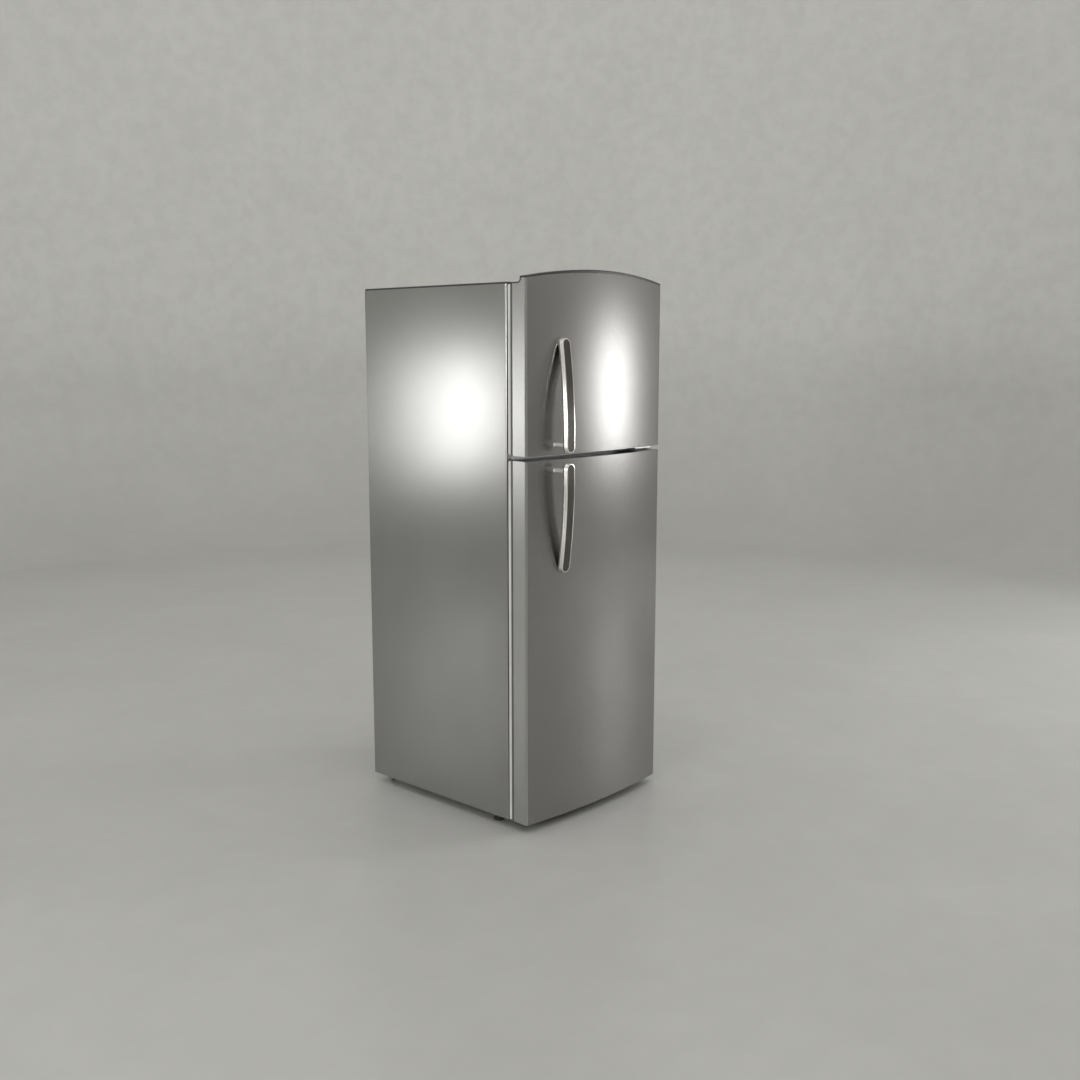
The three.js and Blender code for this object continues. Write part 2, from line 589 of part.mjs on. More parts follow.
function freshFoodDoor() {
  const group = new THREE.Group();
  const { bottom, height } = FRESH_DOOR;
  group.position.set(0, FRONT_Y, bottom);
  const ridge = [70, 1086.6];
  doorShell(group, 'fridge_door', height, false, ridge);
  doorHandle(group, 'fridge_door', height - HANDLE.fromEdge, -1);
  doorBin(group, 'door_bin_lower', ridge[0] + RIDGE.rail + 2, 210);
  doorBin(group, 'door_bin_upper', 560, 655);

  const low = 970;
  const high = ridge[1] - RIDGE.rail - 1.6;
  const half = BIN.half;
  const open = BIN.front - 10;
  add(group, 'dairy_box', cut(
    box([-half, half], [BIN.back, open], [low, high]),
    box([-half + BIN.wall, half - BIN.wall], [BIN.back + BIN.wall, open + 1],
      [low + BIN.wall, high - BIN.wall]),
  ), finish.bin);
  add(group, 'dairy_lid',
    box([-half + 2, half - 2], [open + 1, open + 4], [low + 2, high - 0.5]), finish.bin);
  appliance.add(group);
}

cabinetShell();
base();
hinges();
shelves();
controls();
cooling();
freezerDoor();
freshFoodDoor();

export default appliance;
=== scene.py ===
"""A free-standing refrigerator with its freezer door above: fine surfaces and finishes on the
packed frame. Metres, +Z up, front towards -Y, doors hung on the right (+X)."""

import math

import bmesh
import bpy
from bpy.props import FloatProperty, FloatVectorProperty, IntProperty, PointerProperty
from mathutils import Euler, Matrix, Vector


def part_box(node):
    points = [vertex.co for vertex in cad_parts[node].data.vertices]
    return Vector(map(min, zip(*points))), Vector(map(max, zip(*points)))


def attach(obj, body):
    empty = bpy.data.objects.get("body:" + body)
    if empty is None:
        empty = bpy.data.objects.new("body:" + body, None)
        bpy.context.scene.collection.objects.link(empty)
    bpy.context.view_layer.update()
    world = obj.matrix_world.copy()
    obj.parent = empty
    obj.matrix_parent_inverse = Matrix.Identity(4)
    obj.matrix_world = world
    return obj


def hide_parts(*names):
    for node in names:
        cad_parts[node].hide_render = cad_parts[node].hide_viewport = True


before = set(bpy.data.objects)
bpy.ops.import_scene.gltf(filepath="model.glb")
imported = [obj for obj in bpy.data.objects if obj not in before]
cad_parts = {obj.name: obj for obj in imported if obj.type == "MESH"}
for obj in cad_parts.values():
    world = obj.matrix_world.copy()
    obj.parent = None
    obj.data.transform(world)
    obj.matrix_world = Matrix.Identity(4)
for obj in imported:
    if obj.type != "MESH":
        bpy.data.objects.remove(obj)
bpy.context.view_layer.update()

bl_info = {
    "name": "Top freezer refrigerator",
    "version": (1, 0, 0),
    "blender": (4, 5, 0),
    "location": "View3D > Sidebar > Fridge",
    "description": "Builds the doors, cabinet, fittings and finishes of a two-door refrigerator",
    "category": "Object",
}

# ---------------------------------------------------------------- places read from the frame
FACE_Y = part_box("left_side_panel")[0].y  # the cabinet's front face
BACK_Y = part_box("left_side_panel")[1].y
HALF_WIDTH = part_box("right_side_panel")[1].x
CABINET_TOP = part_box("top_panel")[1].z

# the cabinet's inner spaces: half width, depth behind the face, and floor and ceiling heights
SPACE_HALF = 0.280
SPACE_DEPTH = 0.582
FREEZER_SPACE = (1.182, 1.618)
FRESH_SPACE = (0.092, 1.128)
HUMP_FRONT = FACE_Y + 0.403
HUMP_TOP = 0.290

# a door's moulded ridge: its height above the door's foot, and below the door's top
RIDGE_MARGIN = {"freezer_door": (0.027, 0.0503), "fridge_door": (0.070, 0.033)}
STRIP_LEAN = 0.030  # lean of a door's side strip towards the door's middle, per length of depth
FLOOR_SIDES = 96

# where each low light's glow falls, the way from there to the light, and how far off it stands
SIDE_SPOT = (Vector((-0.321, 0.026, 1.349)), Vector((-0.690, 0.702, -0.062)))
FRONT_SPOT = (Vector((0.036, -0.362, 1.400)), Vector((0.804, -0.594, -0.044)))
HANDLE_SPOT = Vector((-0.22, -0.40, 1.25))
FILL_WAYS = {"side_fill": Vector((-0.99, -0.10, 0.08)),
             "front_fill": Vector((0.90, -0.42, 0.08))}
LIGHT_REACH = 5.1
TOP_PLACE = Vector((-0.6, -1.0, 4.2))
LIGHT_AIM = Vector((0, 0, 0.9))  # the point that every light is turned towards
DOORS = ("freezer_door", "fridge_door")
ARCHED = "freezer_door"


# ---------------------------------------------------------------- sizes and colours to change
def length(name, description, default):
    return FloatProperty(name=name, description=description, default=default, unit="LENGTH",
                         precision=4)


def tint(name, description, default):
    return FloatVectorProperty(name=name, description=description, default=default, size=3,
                               subtype="COLOR", min=0.0, max=1.0)


class DoorSizes(bpy.types.PropertyGroup):
    """Shape of the two doors"""

    bow: length("Bow", "How far the middle of a door stands in front of its corners", 0.021)
    corner: length("Corner", "Width of the slanted edge at each side of a door front", 0.0054)
    skin: length("Skin", "Thickness of the door's sheet", 0.0012)
    arch: length("Arch", "Rise of the upper door's top edge from its corners to its middle", 0.024)
    lip: length("Cap lip", "Height of the top cap above the sheet at the corners", 0.0054)
    lip_arch: length("Cap arch", "Rise of the cap's crest from its corners to its middle", 0.0283)
    step: length("Step", "Distance of the cap's step in front of the cabinet's face", 0.054)
    ledge: length("Ledge", "Height of the cap's rear ledge above the door's body", 0.004)


class HandleSizes(bpy.types.PropertyGroup):
    """Shape of a handle bar"""

    bend: length("Bend", "How far the bar comes in towards the door at its far end", 0.046)
    straight: length("Straight part", "Length of the bar before it bends", 0.040)
    lean: length("Lean", "How far the far end moves towards the middle of the door", 0.027)
    width: length("Width", "Width of the bar", 0.0388)
    chamfer: length("Chamfer", "Width of the polished rim round the bar's face", 0.0050)
    groove: length("Groove", "Depth of the groove along the side of the bar", 0.0013)


class FittingSizes(bpy.types.PropertyGroup):
    """Walls, radii and counts of the fittings"""

    bin_wall: length("Bin wall", "Wall of a drawer or a door bin", 0.0028)
    bin_radius: length("Bin radius", "Upright corner radius of a drawer or a door bin", 0.016)
    liner_radius: length("Liner radius", "Radius of the liners' inner corners", 0.010)
    wires: IntProperty(name="Condenser wires", description="Upright wires on each face of the "
                       "condenser", default=42, min=4, max=120)
    blades: IntProperty(name="Fan blades", description="Blades of the evaporator fan", default=5,
                        min=2, max=9)


class FinishColours(bpy.types.PropertyGroup):
    """Colours of the materials"""

    door: tint("Door steel", "Sheet of the doors", (0.338, 0.330, 0.322))
    side: tint("Cabinet steel", "Sheet of the cabinet's sides", (0.355, 0.355, 0.345))
    trim: tint("Silver trim", "Side strips of the doors", (0.47, 0.47, 0.46))
    cap: tint("Cap", "Dark caps and the top panel", (0.042, 0.043, 0.042))
    bar: tint("Handle face", "Brushed face of a handle bar", (0.115, 0.106, 0.098))
    gasket: tint("Gasket", "Soft door seal", (0.80, 0.80, 0.775))
    liner: tint("Liner", "Moulded inner walls", (0.80, 0.81, 0.80))
    clear: tint("Clear plastic", "Drawers and bins", (0.80, 0.87, 0.89))
    glass: tint("Shelf glass", "Shelves", (0.78, 0.90, 0.86))


class StageSizes(bpy.types.PropertyGroup):
    """Camera, floor and lights"""

    lens: FloatProperty(name="Lens", description="Focal length in millimetres", default=40.46)
    camera_place: FloatVectorProperty(name="Camera", description="Place of the camera", size=3,
                                      subtype="XYZ", unit="LENGTH",
                                      default=(-2.9005, -2.7692, 1.4704))
    camera_tilt: FloatProperty(name="Tilt", description="Angle of the camera from straight down",
                               subtype="ANGLE", default=math.radians(81.12))
    camera_heading: FloatProperty(name="Heading", description="Turn of the camera about Z",
                                  subtype="ANGLE", default=math.radians(-47.39))
    floor_radius: length("Floor", "Radius of the flat floor", 5.2)
    cove: length("Cove", "Radius of the curve between floor and wall", 1.2)
    wall: length("Wall", "Height of the wall", 4.4)
    side_power: FloatProperty(name="Side light", description="Power of the light beside the "
                              "cabinet", subtype="POWER", default=9.0)
    front_power: FloatProperty(name="Front light", description="Power of the light before the "
                               "doors", subtype="POWER", default=16.4)
    fill_power: FloatProperty(name="Fill", description="Power of each soft light that fills "
                              "from the left and right", subtype="POWER", default=42.0)
    top_power: FloatProperty(name="Top light", description="Power of the overhead light",
                             subtype="POWER", default=15.0)
    air: FloatProperty(name="Room light", description="Strength of the even room light",
                       default=0.72)
    floor_tint: tint("Floor colour", "Pale studio floor and wall", (0.53, 0.53, 0.51))


SETTINGS = {"fridge_doors": DoorSizes, "fridge_handles": HandleSizes,
            "fridge_fittings": FittingSizes, "fridge_colours": FinishColours,
            "fridge_stage": StageSizes}


# ---------------------------------------------------------------- mesh helpers
def lerp(a, b, t):
    return a + (b - a) * t


def loft(bm, rings, ends=True, around=False, open_rings=False, material=0):
    """Skins rings of equal length; ends caps the first and last, around joins last to first."""
    rows = [[bm.verts.new(point) for point in ring] for ring in rings]
    pairs = list(zip(rows, rows[1:]))
    if around:
        pairs.append((rows[-1], rows[0]))
    count = len(rows[0])
    made = []
    for below, above in pairs:
        for i in range(count - 1 if open_rings else count):
            j = (i + 1) % count
            made.append(bm.faces.new((below[i], below[j], above[j], above[i])))
    if ends:
        made.append(bm.faces.new(list(reversed(rows[0]))))
        made.append(bm.faces.new(rows[-1]))
    for face in made:
        face.material_index = material
    return rows


def block(bm, low, high, radius=0.0, segments=3, material=0):
    """A box with rounded edges."""
    low, high = Vector(low), Vector(high)
    verts = bmesh.ops.create_cube(bm, size=1.0)["verts"]
    size = high - low
    bmesh.ops.scale(bm, vec=size, verts=verts)
    bmesh.ops.translate(bm, vec=(low + high) / 2, verts=verts)
    faces = {face for vert in verts for face in vert.link_faces}
    if radius:
        edges = {edge for vert in verts for edge in vert.link_edges}
        done = bmesh.ops.bevel(bm, geom=list(edges), offset=min(radius, min(size) * 0.49),
                               segments=segments, profile=0.5, affect="EDGES")
        faces = {face for face in faces if face.is_valid} | set(done["faces"])
    for face in faces:
        face.material_index = material


def circle(centre, radius, axis, sides):
    """Points round a centre, in the plane across an axis vector."""
    axis = Vector(axis).normalized()
    across = axis.orthogonal().normalized()
    other = axis.cross(across)
    return [Vector(centre) + across * radius * math.cos(turn) + other * radius * math.sin(turn)
            for turn in (2 * math.pi * i / sides for i in range(sides))]


def turned(bm, centre, axis, profile, sides=40, around=False, material=0):
    """A turned solid: profile is a list of (radius, distance along the axis)."""
    axis = Vector(axis).normalized()
    rings = [circle(Vector(centre) + axis * along, max(radius, 1e-5), axis, sides)
             for radius, along in profile]
    loft(bm, rings, ends=not around, around=around, material=material)


def tube(bm, path, radius, sides=10, material=0):
    """A round bar along a list of points."""
    path = [Vector(point) for point in path]
    across = (path[1] - path[0]).orthogonal().normalized()
    rings = []
    for i, point in enumerate(path):
        ahead = (path[min(i + 1, len(path) - 1)] - path[max(i - 1, 0)]).normalized()
        across = (across - ahead * across.dot(ahead)).normalized()
        other = ahead.cross(across)
        rings.append([point + (across * math.cos(turn) + other * math.sin(turn)) * radius
                      for turn in (2 * math.pi * k / sides for k in range(sides))])
    loft(bm, rings, material=material)


def bent(points, radius, steps=6):
    """A path through points, with its corners rounded."""
    points = [Vector(point) for point in points]
    path = [points[0]]
    for before, at, after in zip(points, points[1:], points[2:]):
        into, out = (before - at), (after - at)
        cut = min(radius, into.length * 0.45, out.length * 0.45)
        start, end = at + into.normalized() * cut, at + out.normalized() * cut
        for i in range(steps + 1):
            t = i / steps
            path.append(lerp(lerp(start, at, t), lerp(at, end, t), t))
    return path + [points[-1]]


def rounded_loop(low, high, radius, place, steps=5):
    """A rectangle with round corners; place turns its two coordinates into a point."""
    (u0, v0), (u1, v1) = low, high
    radius = min(radius, (u1 - u0) * 0.499, (v1 - v0) * 0.499)
    centres = [(u1 - radius, v1 - radius), (u0 + radius, v1 - radius),
               (u0 + radius, v0 + radius), (u1 - radius, v0 + radius)]
    points = []
    for quarter, (u, v) in enumerate(centres):
        for i in range(steps + 1):
            turn = math.pi / 2 * (quarter + i / steps)
            points.append(place(u + radius * math.cos(turn), v + radius * math.sin(turn)))
    return points


def flat_loop(low, high, inset, radius, z):
    """A rounded rectangle at one height."""
    return rounded_loop((low[0] + inset, low[1] + inset), (high[0] - inset, high[1] - inset),
                        radius, lambda u, v: Vector((u, v, z)))


def quarter_turn(steps):
    """Angles from zero to a right angle, in even steps."""
    return [math.pi / 2 * i / steps for i in range(steps + 1)]


def facing(y):
    """Places a loop in the upright plane at depth y."""
    return lambda u, v: Vector((u, y, v))


def upright_loop(half, z0, z1, radius, y):
    """A rounded rectangle in a door's plane."""
    return rounded_loop((-half, z0), (half, z1), radius, facing(y))


def piece(name, bm, materials, body, stands_for=(), crease=32.0):
    """Turns a bmesh into a named piece that rides on a body."""
    bmesh.ops.recalc_face_normals(bm, faces=bm.faces)
    limit = math.radians(crease)
    for face in bm.faces:
        face.smooth = True
    for edge in bm.edges:
        edge.smooth = len(edge.link_faces) == 2 and edge.calc_face_angle(0.0) < limit
    mesh = bpy.data.meshes.new(name)
    bm.to_mesh(mesh)
    bm.free()
    made = bpy.data.objects.new(name, mesh)
    bpy.context.scene.collection.objects.link(made)
    for material in materials if isinstance(materials, (list, tuple)) else [materials]:
        mesh.materials.append(material)
    weighted = made.modifiers.new("normals", "WEIGHTED_NORMAL")
    weighted.keep_sharp = True
    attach(made, body)
    if stands_for:
        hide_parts(*stands_for)
    return made


def dress(node, material, edge=0.0):
    """Gives a CAD node its finish, and rounds its edges where edge is set."""
    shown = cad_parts[node]
    shown.data.materials.clear()
    shown.data.materials.append(material)
    if not edge:
        return
    shown.modifiers.new("join", "WELD").merge_threshold = 1e-5
    bevel = shown.modifiers.new("edges", "BEVEL")
    bevel.width = edge
    bevel.segments = 2
    bevel.limit_method = "ANGLE"
    bevel.angle_limit = math.radians(35)
    bevel.harden_normals = True


# ---------------------------------------------------------------- shared surface effects
def effect(name, inputs, outputs):
    """An empty node group with named sockets."""
    tree = bpy.data.node_groups.new(name, "ShaderNodeTree")
    for label, kind, default in inputs:
        socket = tree.interface.new_socket(name=label, in_out="INPUT", socket_type=kind)
        socket.default_value = default
    for label in outputs:
        tree.interface.new_socket(name=label, in_out="OUTPUT", socket_type="NodeSocketFloat")
    return tree, tree.nodes.new("NodeGroupInput"), tree.nodes.new("NodeGroupOutput")


def node(tree, kind, values=(), **settings):
    made = tree.nodes.new(kind)
    for setting, value in settings.items():
        setattr(made, setting, value)
    for socket, value in dict(values).items():
        made.inputs[socket].default_value = value
    return made


def noise_of(tree, put_in, size, detail, roughness, stretch=None):
    """Noise on the piece's own coordinates, at a group's Size input."""
    place = node(tree, "ShaderNodeTexCoord")
    noise = node(tree, "ShaderNodeTexNoise", {"Detail": detail, "Roughness": roughness})
    source = place.outputs["Object"]
    if stretch:
        mapping = node(tree, "ShaderNodeMapping")
        tree.links.new(source, mapping.inputs["Vector"])
        tree.links.new(put_in.outputs[stretch], mapping.inputs["Scale"])
        source = mapping.outputs["Vector"]
    tree.links.new(source, noise.inputs["Vector"])
    tree.links.new(put_in.outputs[size], noise.inputs["Scale"])
    return noise.outputs["Fac"]


def clipped(tree, value, low, high):
    """Spreads the part of a value between low and high over 0 to 1."""
    spread = node(tree, "ShaderNodeMapRange", {"From Min": low, "From Max": high},
                  interpolation_type="SMOOTHSTEP")
    tree.links.new(value, spread.inputs["Value"])
    return spread.outputs["Result"]


def product(tree, first, second):
    times = node(tree, "ShaderNodeMath", operation="MULTIPLY")
    tree.links.new(first, times.inputs[0])
    tree.links.new(second, times.inputs[1])
    return times.outputs[0]


def make_grain():
    """Fine grain: Value from 0 to 1 for roughness, Height for relief."""
    tree, put_in, put_out = effect("fine grain", [
        ("Size", "NodeSocketFloat", 400.0), ("Stretch", "NodeSocketVector", (1.0, 1.0, 1.0))],
        ["Value", "Height"])
    grain = noise_of(tree, put_in, "Size", 3.0, 0.65, "Stretch")
    tree.links.new(clipped(tree, grain, 0.3, 0.7), put_out.inputs["Value"])
    tree.links.new(grain, put_out.inputs["Height"])
    return tree


def make_mottle():
    """Soft cloudy patches, as a mask from 0 to Amount."""
    tree, put_in, put_out = effect("soft mottle", [
        ("Size", "NodeSocketFloat", 4.0), ("Amount", "NodeSocketFloat", 1.0)], ["Mask"])
    cloud = clipped(tree, noise_of(tree, put_in, "Size", 4.0, 0.6), 0.35, 0.68)
    tree.links.new(product(tree, cloud, put_in.outputs["Amount"]), put_out.inputs["Mask"])
    return tree


def make_wear():
    """Rubbed edges, as a mask from 0 to Amount."""
    tree, put_in, put_out = effect("edge wear", [
        ("Size", "NodeSocketFloat", 60.0), ("Amount", "NodeSocketFloat", 1.0)], ["Mask"])
    shape = node(tree, "ShaderNodeNewGeometry")
    edge = clipped(tree, shape.outputs["Pointiness"], 0.51, 0.60)
    broken = clipped(tree, noise_of(tree, put_in, "Size", 4.0, 0.6), 0.3, 0.6)
    rubbed = product(tree, edge, broken)
    tree.links.new(product(tree, rubbed, put_in.outputs["Amount"]), put_out.inputs["Mask"])
    return tree


def make_dust():
    """Dust that lies on upward faces, as a mask from 0 to Amount."""
    tree, put_in, put_out = effect("settled dust", [
        ("Size", "NodeSocketFloat", 12.0), ("Amount", "NodeSocketFloat", 1.0)], ["Mask"])
    shape = node(tree, "ShaderNodeNewGeometry")
    split = node(tree, "ShaderNodeSeparateXYZ")
    tree.links.new(shape.outputs["Normal"], split.inputs["Vector"])
    upward = clipped(tree, split.outputs["Z"], 0.5, 1.0)
    patchy = clipped(tree, noise_of(tree, put_in, "Size", 5.0, 0.7), 0.35, 0.75)
    lying = product(tree, upward, patchy)
    tree.links.new(product(tree, lying, put_in.outputs["Amount"]), put_out.inputs["Mask"])
    return tree


EFFECTS = {"grain": make_grain, "mottle": make_mottle, "wear": make_wear, "dust": make_dust}
effects = {}
finishes = {}


def placed(tree, name, **values):
    """One of the shared effects, in a material, with its own values."""
    group = node(tree, "ShaderNodeGroup", node_tree=effects[name])
    for label, value in values.items():
        group.inputs[label].default_value = value
    return group


def mixed(tree, mask, below, above):
    """Colour below, with a flat colour above it where the mask is 1."""
    mix = node(tree, "ShaderNodeMix", data_type="RGBA")
    tree.links.new(mask, mix.inputs[0])
    if isinstance(below, bpy.types.NodeSocket):
        tree.links.new(below, mix.inputs[6])
    else:
        mix.inputs[6].default_value = (*below, 1.0)
    mix.inputs[7].default_value = (*above, 1.0)
    return mix.outputs[2]


def shaded(colour, share):
    return tuple(min(1.0, channel * share) for channel in colour)


def finish(name, colour, rough, grain=400.0, stretch=(1, 1, 1), relief=0.0, mottle=4.0,
           vary=0.88, wear=None, dust=None, fixed=None):
    """A material: mottled colour, grained roughness, relief, and wear and dust where given."""
    made = bpy.data.materials.new(name)
    made.use_nodes = True
    tree = made.node_tree
    shader = tree.nodes["Principled BSDF"]
    colour = tuple(colour)
    cloud = placed(tree, "mottle", Size=mottle, Amount=1.0)
    tone = mixed(tree, cloud.outputs["Mask"], colour, shaded(colour, vary))
    if wear:
        rubbed = placed(tree, "wear", Size=70.0, Amount=wear[0])
        tone = mixed(tree, rubbed.outputs["Mask"], tone, wear[1])
    if dust:
        lying = placed(tree, "dust", Size=14.0, Amount=dust)
        tone = mixed(tree, lying.outputs["Mask"], tone, (0.42, 0.41, 0.38))
    tree.links.new(tone, shader.inputs["Base Color"])
    speckle = placed(tree, "grain", Size=grain, Stretch=stretch)
    spread = node(tree, "ShaderNodeMapRange", {"To Min": rough[0], "To Max": rough[1]})
    tree.links.new(speckle.outputs["Value"], spread.inputs["Value"])
    tree.links.new(spread.outputs["Result"], shader.inputs["Roughness"])
    if relief:
        bump = node(tree, "ShaderNodeBump", {"Strength": 1.0, "Distance": relief})
        tree.links.new(speckle.outputs["Height"], bump.inputs["Height"])
        tree.links.new(bump.outputs["Normal"], shader.inputs["Normal"])
    for socket, value in (fixed or {}).items():
        shader.inputs[socket].default_value = value
    finishes[name] = made
    return made


def make_finishes(colours):
    """Every material of the object."""
    metal = {"Metallic": 1.0}
    finish("door steel", colours.door, (0.22, 0.28), 700, (1, 1, 1), 0.6e-5, 5.0, 0.95,
           wear=(0.08, (0.72, 0.72, 0.70)), fixed=metal)
    finish("side steel", colours.side, (0.20, 0.255), 700, (1, 1, 1), 0.45e-5, 3.5, 0.94,
           wear=(0.08, (0.62, 0.62, 0.60)), fixed=metal)
    finish("silver trim", colours.trim, (0.280, 0.305), 600, (1, 1, 0.2), 0.0, 6.0, 0.96,
           fixed=metal)
    finish("brushed bar", colours.bar, (0.30, 0.46), 900, (1, 1, 0.06), 1.2e-5, 12.0, 0.86,
           wear=(0.5, (0.30, 0.29, 0.27)), fixed=metal)
    finish("polished rim", (0.93, 0.92, 0.89), (0.16, 0.24), 400, (1, 1, 0.1), 0.0, 20.0, 0.95,
           fixed=metal)
    finish("satin side", (0.88, 0.86, 0.82), (0.20, 0.28), 500, (1, 1, 0.08), 0.0, 16.0, 0.92,
           fixed=metal)
    finish("satin stay", (0.94, 0.93, 0.90), (0.46, 0.54), 500, (1, 1, 0.2), 0.0, 16.0, 0.94,
           fixed=metal)
    # The frame's dark grey is painted shade for the recess between a door's side strips and its
    # seal; the dust on its upward faces is real dust.
    finish("painted shade frame", (0.13, 0.13, 0.128), (0.32, 0.42), 900, (1, 1, 1), 2e-5, 12.0, 0.85,
           dust=0.1)
    # The groove's near-black is painted shade standing for the shadow down in the handle's side
    # groove.
    finish("groove", (0.05, 0.048, 0.045), (0.4, 0.55), 400, (1, 1, 0.2), 0.0, 20.0, 0.8)
    finish("dark cap", colours.cap, (0.22, 0.34), 1400, (1, 1, 1), 3e-5, 9.0, 0.8,
           wear=(0.5, (0.10, 0.10, 0.098)), dust=0.22)
    finish("dark plastic", (0.022, 0.023, 0.024), (0.38, 0.52), 1200, (1, 1, 1), 4e-5, 14.0, 0.8,
           wear=(0.4, (0.09, 0.09, 0.09)), dust=0.2)
    finish("rubber", (0.018, 0.018, 0.018), (0.62, 0.8), 900, (1, 1, 1), 6e-5, 20.0, 0.75,
           dust=0.3)
    finish("plated steel", (0.60, 0.61, 0.60), (0.26, 0.44), 260, (1, 1, 1), 1e-5, 18.0, 0.82,
           wear=(0.4, (0.80, 0.80, 0.78)), fixed=metal)
    finish("back sheet", (0.46, 0.47, 0.47), (0.36, 0.52), 60, (1, 1, 1), 2e-5, 9.0, 0.78,
           wear=(0.3, (0.66, 0.66, 0.65)), fixed=metal)
    finish("gasket vinyl", colours.gasket, (0.48, 0.60), 700, (1, 1, 1), 3e-5, 16.0, 0.9,
           fixed={"Coat Weight": 0.05})
    finish("liner plastic", colours.liner, (0.30, 0.38), 900, (1, 1, 1), 2e-5, 3.0, 0.965,
           wear=(0.2, (0.88, 0.88, 0.87)), fixed={"Coat Weight": 0.15})
    finish("white moulding", (0.74, 0.75, 0.745), (0.38, 0.50), 1300, (1, 1, 1), 4e-5, 8.0,
           0.95, wear=(0.2, (0.85, 0.85, 0.84)))
    finish("foam", (0.66, 0.55, 0.30), (0.85, 0.95), 180, (1, 1, 1), 6e-4, 25.0, 0.8)
    finish("shelf glass", colours.glass, (0.02, 0.07), 40, (1, 1, 1), 0.0, 5.0, 0.97,
           fixed={"Transmission Weight": 0.92, "IOR": 1.5})
    finish("clear plastic", colours.clear, (0.06, 0.14), 160, (1, 1, 1), 0.0, 9.0, 0.95,
           fixed={"Alpha": 0.42, "IOR": 1.49, "Coat Weight": 0.3})
    finish("frosted plastic", (0.86, 0.87, 0.86), (0.35, 0.5), 900, (1, 1, 1), 3e-5, 20.0, 0.95,
           fixed={"Transmission Weight": 0.35, "IOR": 1.46, "Emission Strength": 2.2,
                  "Emission Color": (1.0, 0.95, 0.86, 1.0)})
    finish("black enamel", (0.016, 0.016, 0.017), (0.26, 0.40), 260, (1, 1, 1), 4e-5, 18.0, 0.8,
           wear=(0.4, (0.12, 0.12, 0.12)), dust=0.25)
    finish("copper", (0.72, 0.36, 0.22), (0.24, 0.44), 200, (1, 1, 1), 1e-5, 30.0, 0.68,
           fixed=metal)
    finish("fins", (0.74, 0.75, 0.76), (0.28, 0.42), 300, (1, 1, 1), 1e-5, 20.0, 0.85,
           fixed=metal)
    finish("mark ink", (0.12, 0.13, 0.14), (0.45, 0.6), 600, (1, 1, 1), 0.0, 30.0, 0.8)


# ---------------------------------------------------------------- doors
class Door:
    """The sizes of one door, from its CAD nodes and the door settings."""

    def __init__(self, body, sizes):
        skin_low, skin_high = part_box(f"{body}_front_panel")
        trim_low, trim_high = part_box(f"{body}_left_trim")
        self.body = body
        self.sizes = sizes
        self.half = skin_high.x
        self.front = skin_low.y
        self.edge = skin_high.y
        self.rim = trim_high.y
        self.foot, self.top = trim_low.z, trim_high.z
        self.strip = trim_high.x - trim_low.x
        self.rise = sizes.arch if body == ARCHED else 0.0
        self.shoulder = skin_high.z - self.rise  # the sheet's top edge at its corners
        self.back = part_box(f"{body}_top_cap")[1].y if body == ARCHED else FACE_Y - 0.015
        self.corner_x = self.half - sizes.corner

    def front_y(self, x):
        """The outside of the sheet at x."""
        return self.front + self.sizes.bow * (min(abs(x), self.corner_x) / self.corner_x) ** 2

    def sheet_top(self, x):
        return self.shoulder + self.rise * (1 - (x / self.half) ** 2)

    def front_line(self, inset, columns=64):
        """Plan of the front from left to right, moved inwards by inset."""
        soft = 0.0007
        left = Vector((-self.half, self.edge))
        corner = Vector((-self.corner_x, self.front_y(self.corner_x)))
        start = corner + (left - corner).normalized() * soft
        end = Vector((-self.corner_x + soft, self.front_y(self.corner_x - soft)))
        turn = [lerp(lerp(start, corner, t), lerp(corner, end, t), t)
                for t in (i / 5 for i in range(6))]
        reach = self.corner_x - soft
        bow = [Vector((x, self.front_y(x)))
               for x in (lerp(-reach, reach, i / columns) for i in range(1, columns))]
        line = [left] + turn + bow + [Vector((-p.x, p.y)) for p in reversed([left] + turn)]
        share = (self.half - inset) / self.half
        return [Vector((p.x * share, p.y + inset)) for p in line]


def door_skin(door):
    """The bowed sheet of a door, hollow behind, with soft rims at its foot and top."""
    bm = bmesh.new()
    soft = 0.0005
    inside = door.front_line(door.sizes.skin)
    rings = []
    for share, inset in ((0, soft), (0, 0), (0.2, 0), (0.4, 0), (0.6, 0), (0.8, 0), (1, 0),
                         (1, soft)):
        outside = door.front_line(inset)
        trim = 0 if inset else soft * (1 if share == 0 else -1 if share == 1 else 0)
        ring = []
        for point in outside + list(reversed(inside)):
            top = door.sheet_top(point.x)
            ring.append((point.x, point.y, lerp(door.foot, top, share) + trim))
        rings.append(ring)
    loft(bm, rings)
    # The slanted corner faces take the brighter silver-trim metal instead of the door steel: a
    # painted highlight stripe along each side of the sheet.
    for face in bm.faces:
        face.normal_update()
        corner = abs(face.calc_center_median().x) > door.corner_x
        if corner and 0.4 < abs(face.normal.x) < 0.95:
            face.material_index = 1
    return bm


def step_curve(door, crest, grow, steps=7):
    """The concave step behind the crest, in (y, z), from its top down to the ledge; grow moves it
    down and forwards."""
    ledge = door.top + door.sizes.ledge
    radius = min(0.016, (crest - ledge) * 0.5)
    step_y = FACE_Y - door.sizes.step
    return [(step_y + radius - (radius + grow) * math.cos(turn),
             ledge + radius - (radius + grow) * math.sin(turn))
            for turn in quarter_turn(steps)]


def crest_top(door, x):
    return door.shoulder + door.sizes.lip + door.sizes.lip_arch * (1 - (x / door.half) ** 2)


